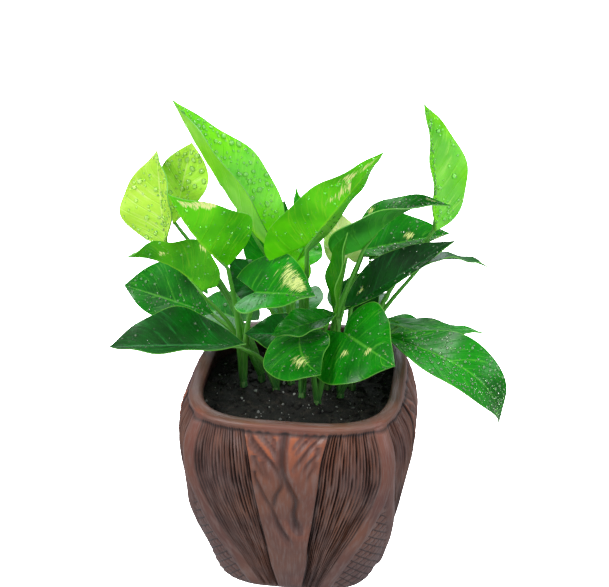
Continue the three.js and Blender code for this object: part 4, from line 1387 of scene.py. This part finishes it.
class POTHOS_OT_stage(Operator):
    """Set up the pale floor, the soft studio light and the camera"""

    bl_idname = "pothos.stage"
    bl_label = "Stage"

    def execute(self, context):
        settings = context.scene.pothos.stage
        floor = add_sheet("floor", 8, 8)
        shape_sheet(floor, 8, 8, lambda column, row: Vector((column - 4, row - 4, 0)) * FLOOR_CELL)
        floor.data.materials.append(matt_backdrop(settings))
        floor.visible_diffuse = False  # it is bright as a cut-out's ground is, and lights nothing
        floor.visible_glossy = False

        world = bpy.data.worlds.new("pale_surround")
        world.use_nodes = True
        surround = world.node_tree.nodes["Background"].inputs
        surround["Color"].default_value = to_linear("#F4F8FF")
        surround["Strength"].default_value = 0.48
        context.scene.world = world
        context.scene.view_settings.view_transform = "Standard"

        for name, (place, size, share, colour) in LIGHTS.items():
            light = bpy.data.lights.new(name, "AREA")
            light.shape = "DISK"
            light.size = size
            light.energy = share * settings.key_power
            light.color = to_linear(colour)[:3]
            add_aimed(name, light, place, LIGHT_TARGET)

        lens = bpy.data.cameras.new("camera")
        lens.sensor_width = 36
        lens.lens = settings.lens
        lens.clip_start = 0.02
        context.scene.camera = add_aimed("camera", lens, CAMERA_PLACE, CAMERA_TARGET)
        return {"FINISHED"}


# ------------------------------------------------------------------ panel and registration


class POTHOS_PT_panel(Panel):
    """The pieces of the plant and their settings"""

    bl_idname = "POTHOS_PT_panel"
    bl_label = "Pothos"
    bl_space_type = "VIEW_3D"
    bl_region_type = "UI"
    bl_category = "Pothos"

    def draw(self, context):
        settings = context.scene.pothos
        for group, operators in (
            (settings.pot, ("pothos.pot",)), (settings.soil, ("pothos.soil", "pothos.grains")),
            (settings.stalk, ("pothos.stems",)), (settings.leaf, ("pothos.leaves", "pothos.drops")),
            (settings.stage, ("pothos.stage",)),
        ):
            box = self.layout.box()
            for prop in group.__annotations__:
                box.prop(group, prop)
            for operator in operators:
                box.operator(operator)


CLASSES = (
    PotSettings, SoilSettings, LeafSettings, StalkSettings, StageSettings, PothosSettings,
    POTHOS_OT_pot, POTHOS_OT_soil, POTHOS_OT_grains, POTHOS_OT_stems, POTHOS_OT_leaves,
    POTHOS_OT_drops, POTHOS_OT_stage, POTHOS_PT_panel,
)


def register():
    for each in CLASSES:
        bpy.utils.register_class(each)
    bpy.types.Scene.pothos = PointerProperty(type=PothosSettings)


def unregister():
    del bpy.types.Scene.pothos
    for each in reversed(CLASSES):
        bpy.utils.unregister_class(each)


def main():
    register()
    bpy.ops.pothos.pot()
    bpy.ops.pothos.soil()
    bpy.ops.pothos.grains()
    bpy.ops.pothos.stems()
    bpy.ops.pothos.leaves()
    bpy.ops.pothos.drops()
    bpy.ops.pothos.stage()


if __name__ == "__main__":
    main()
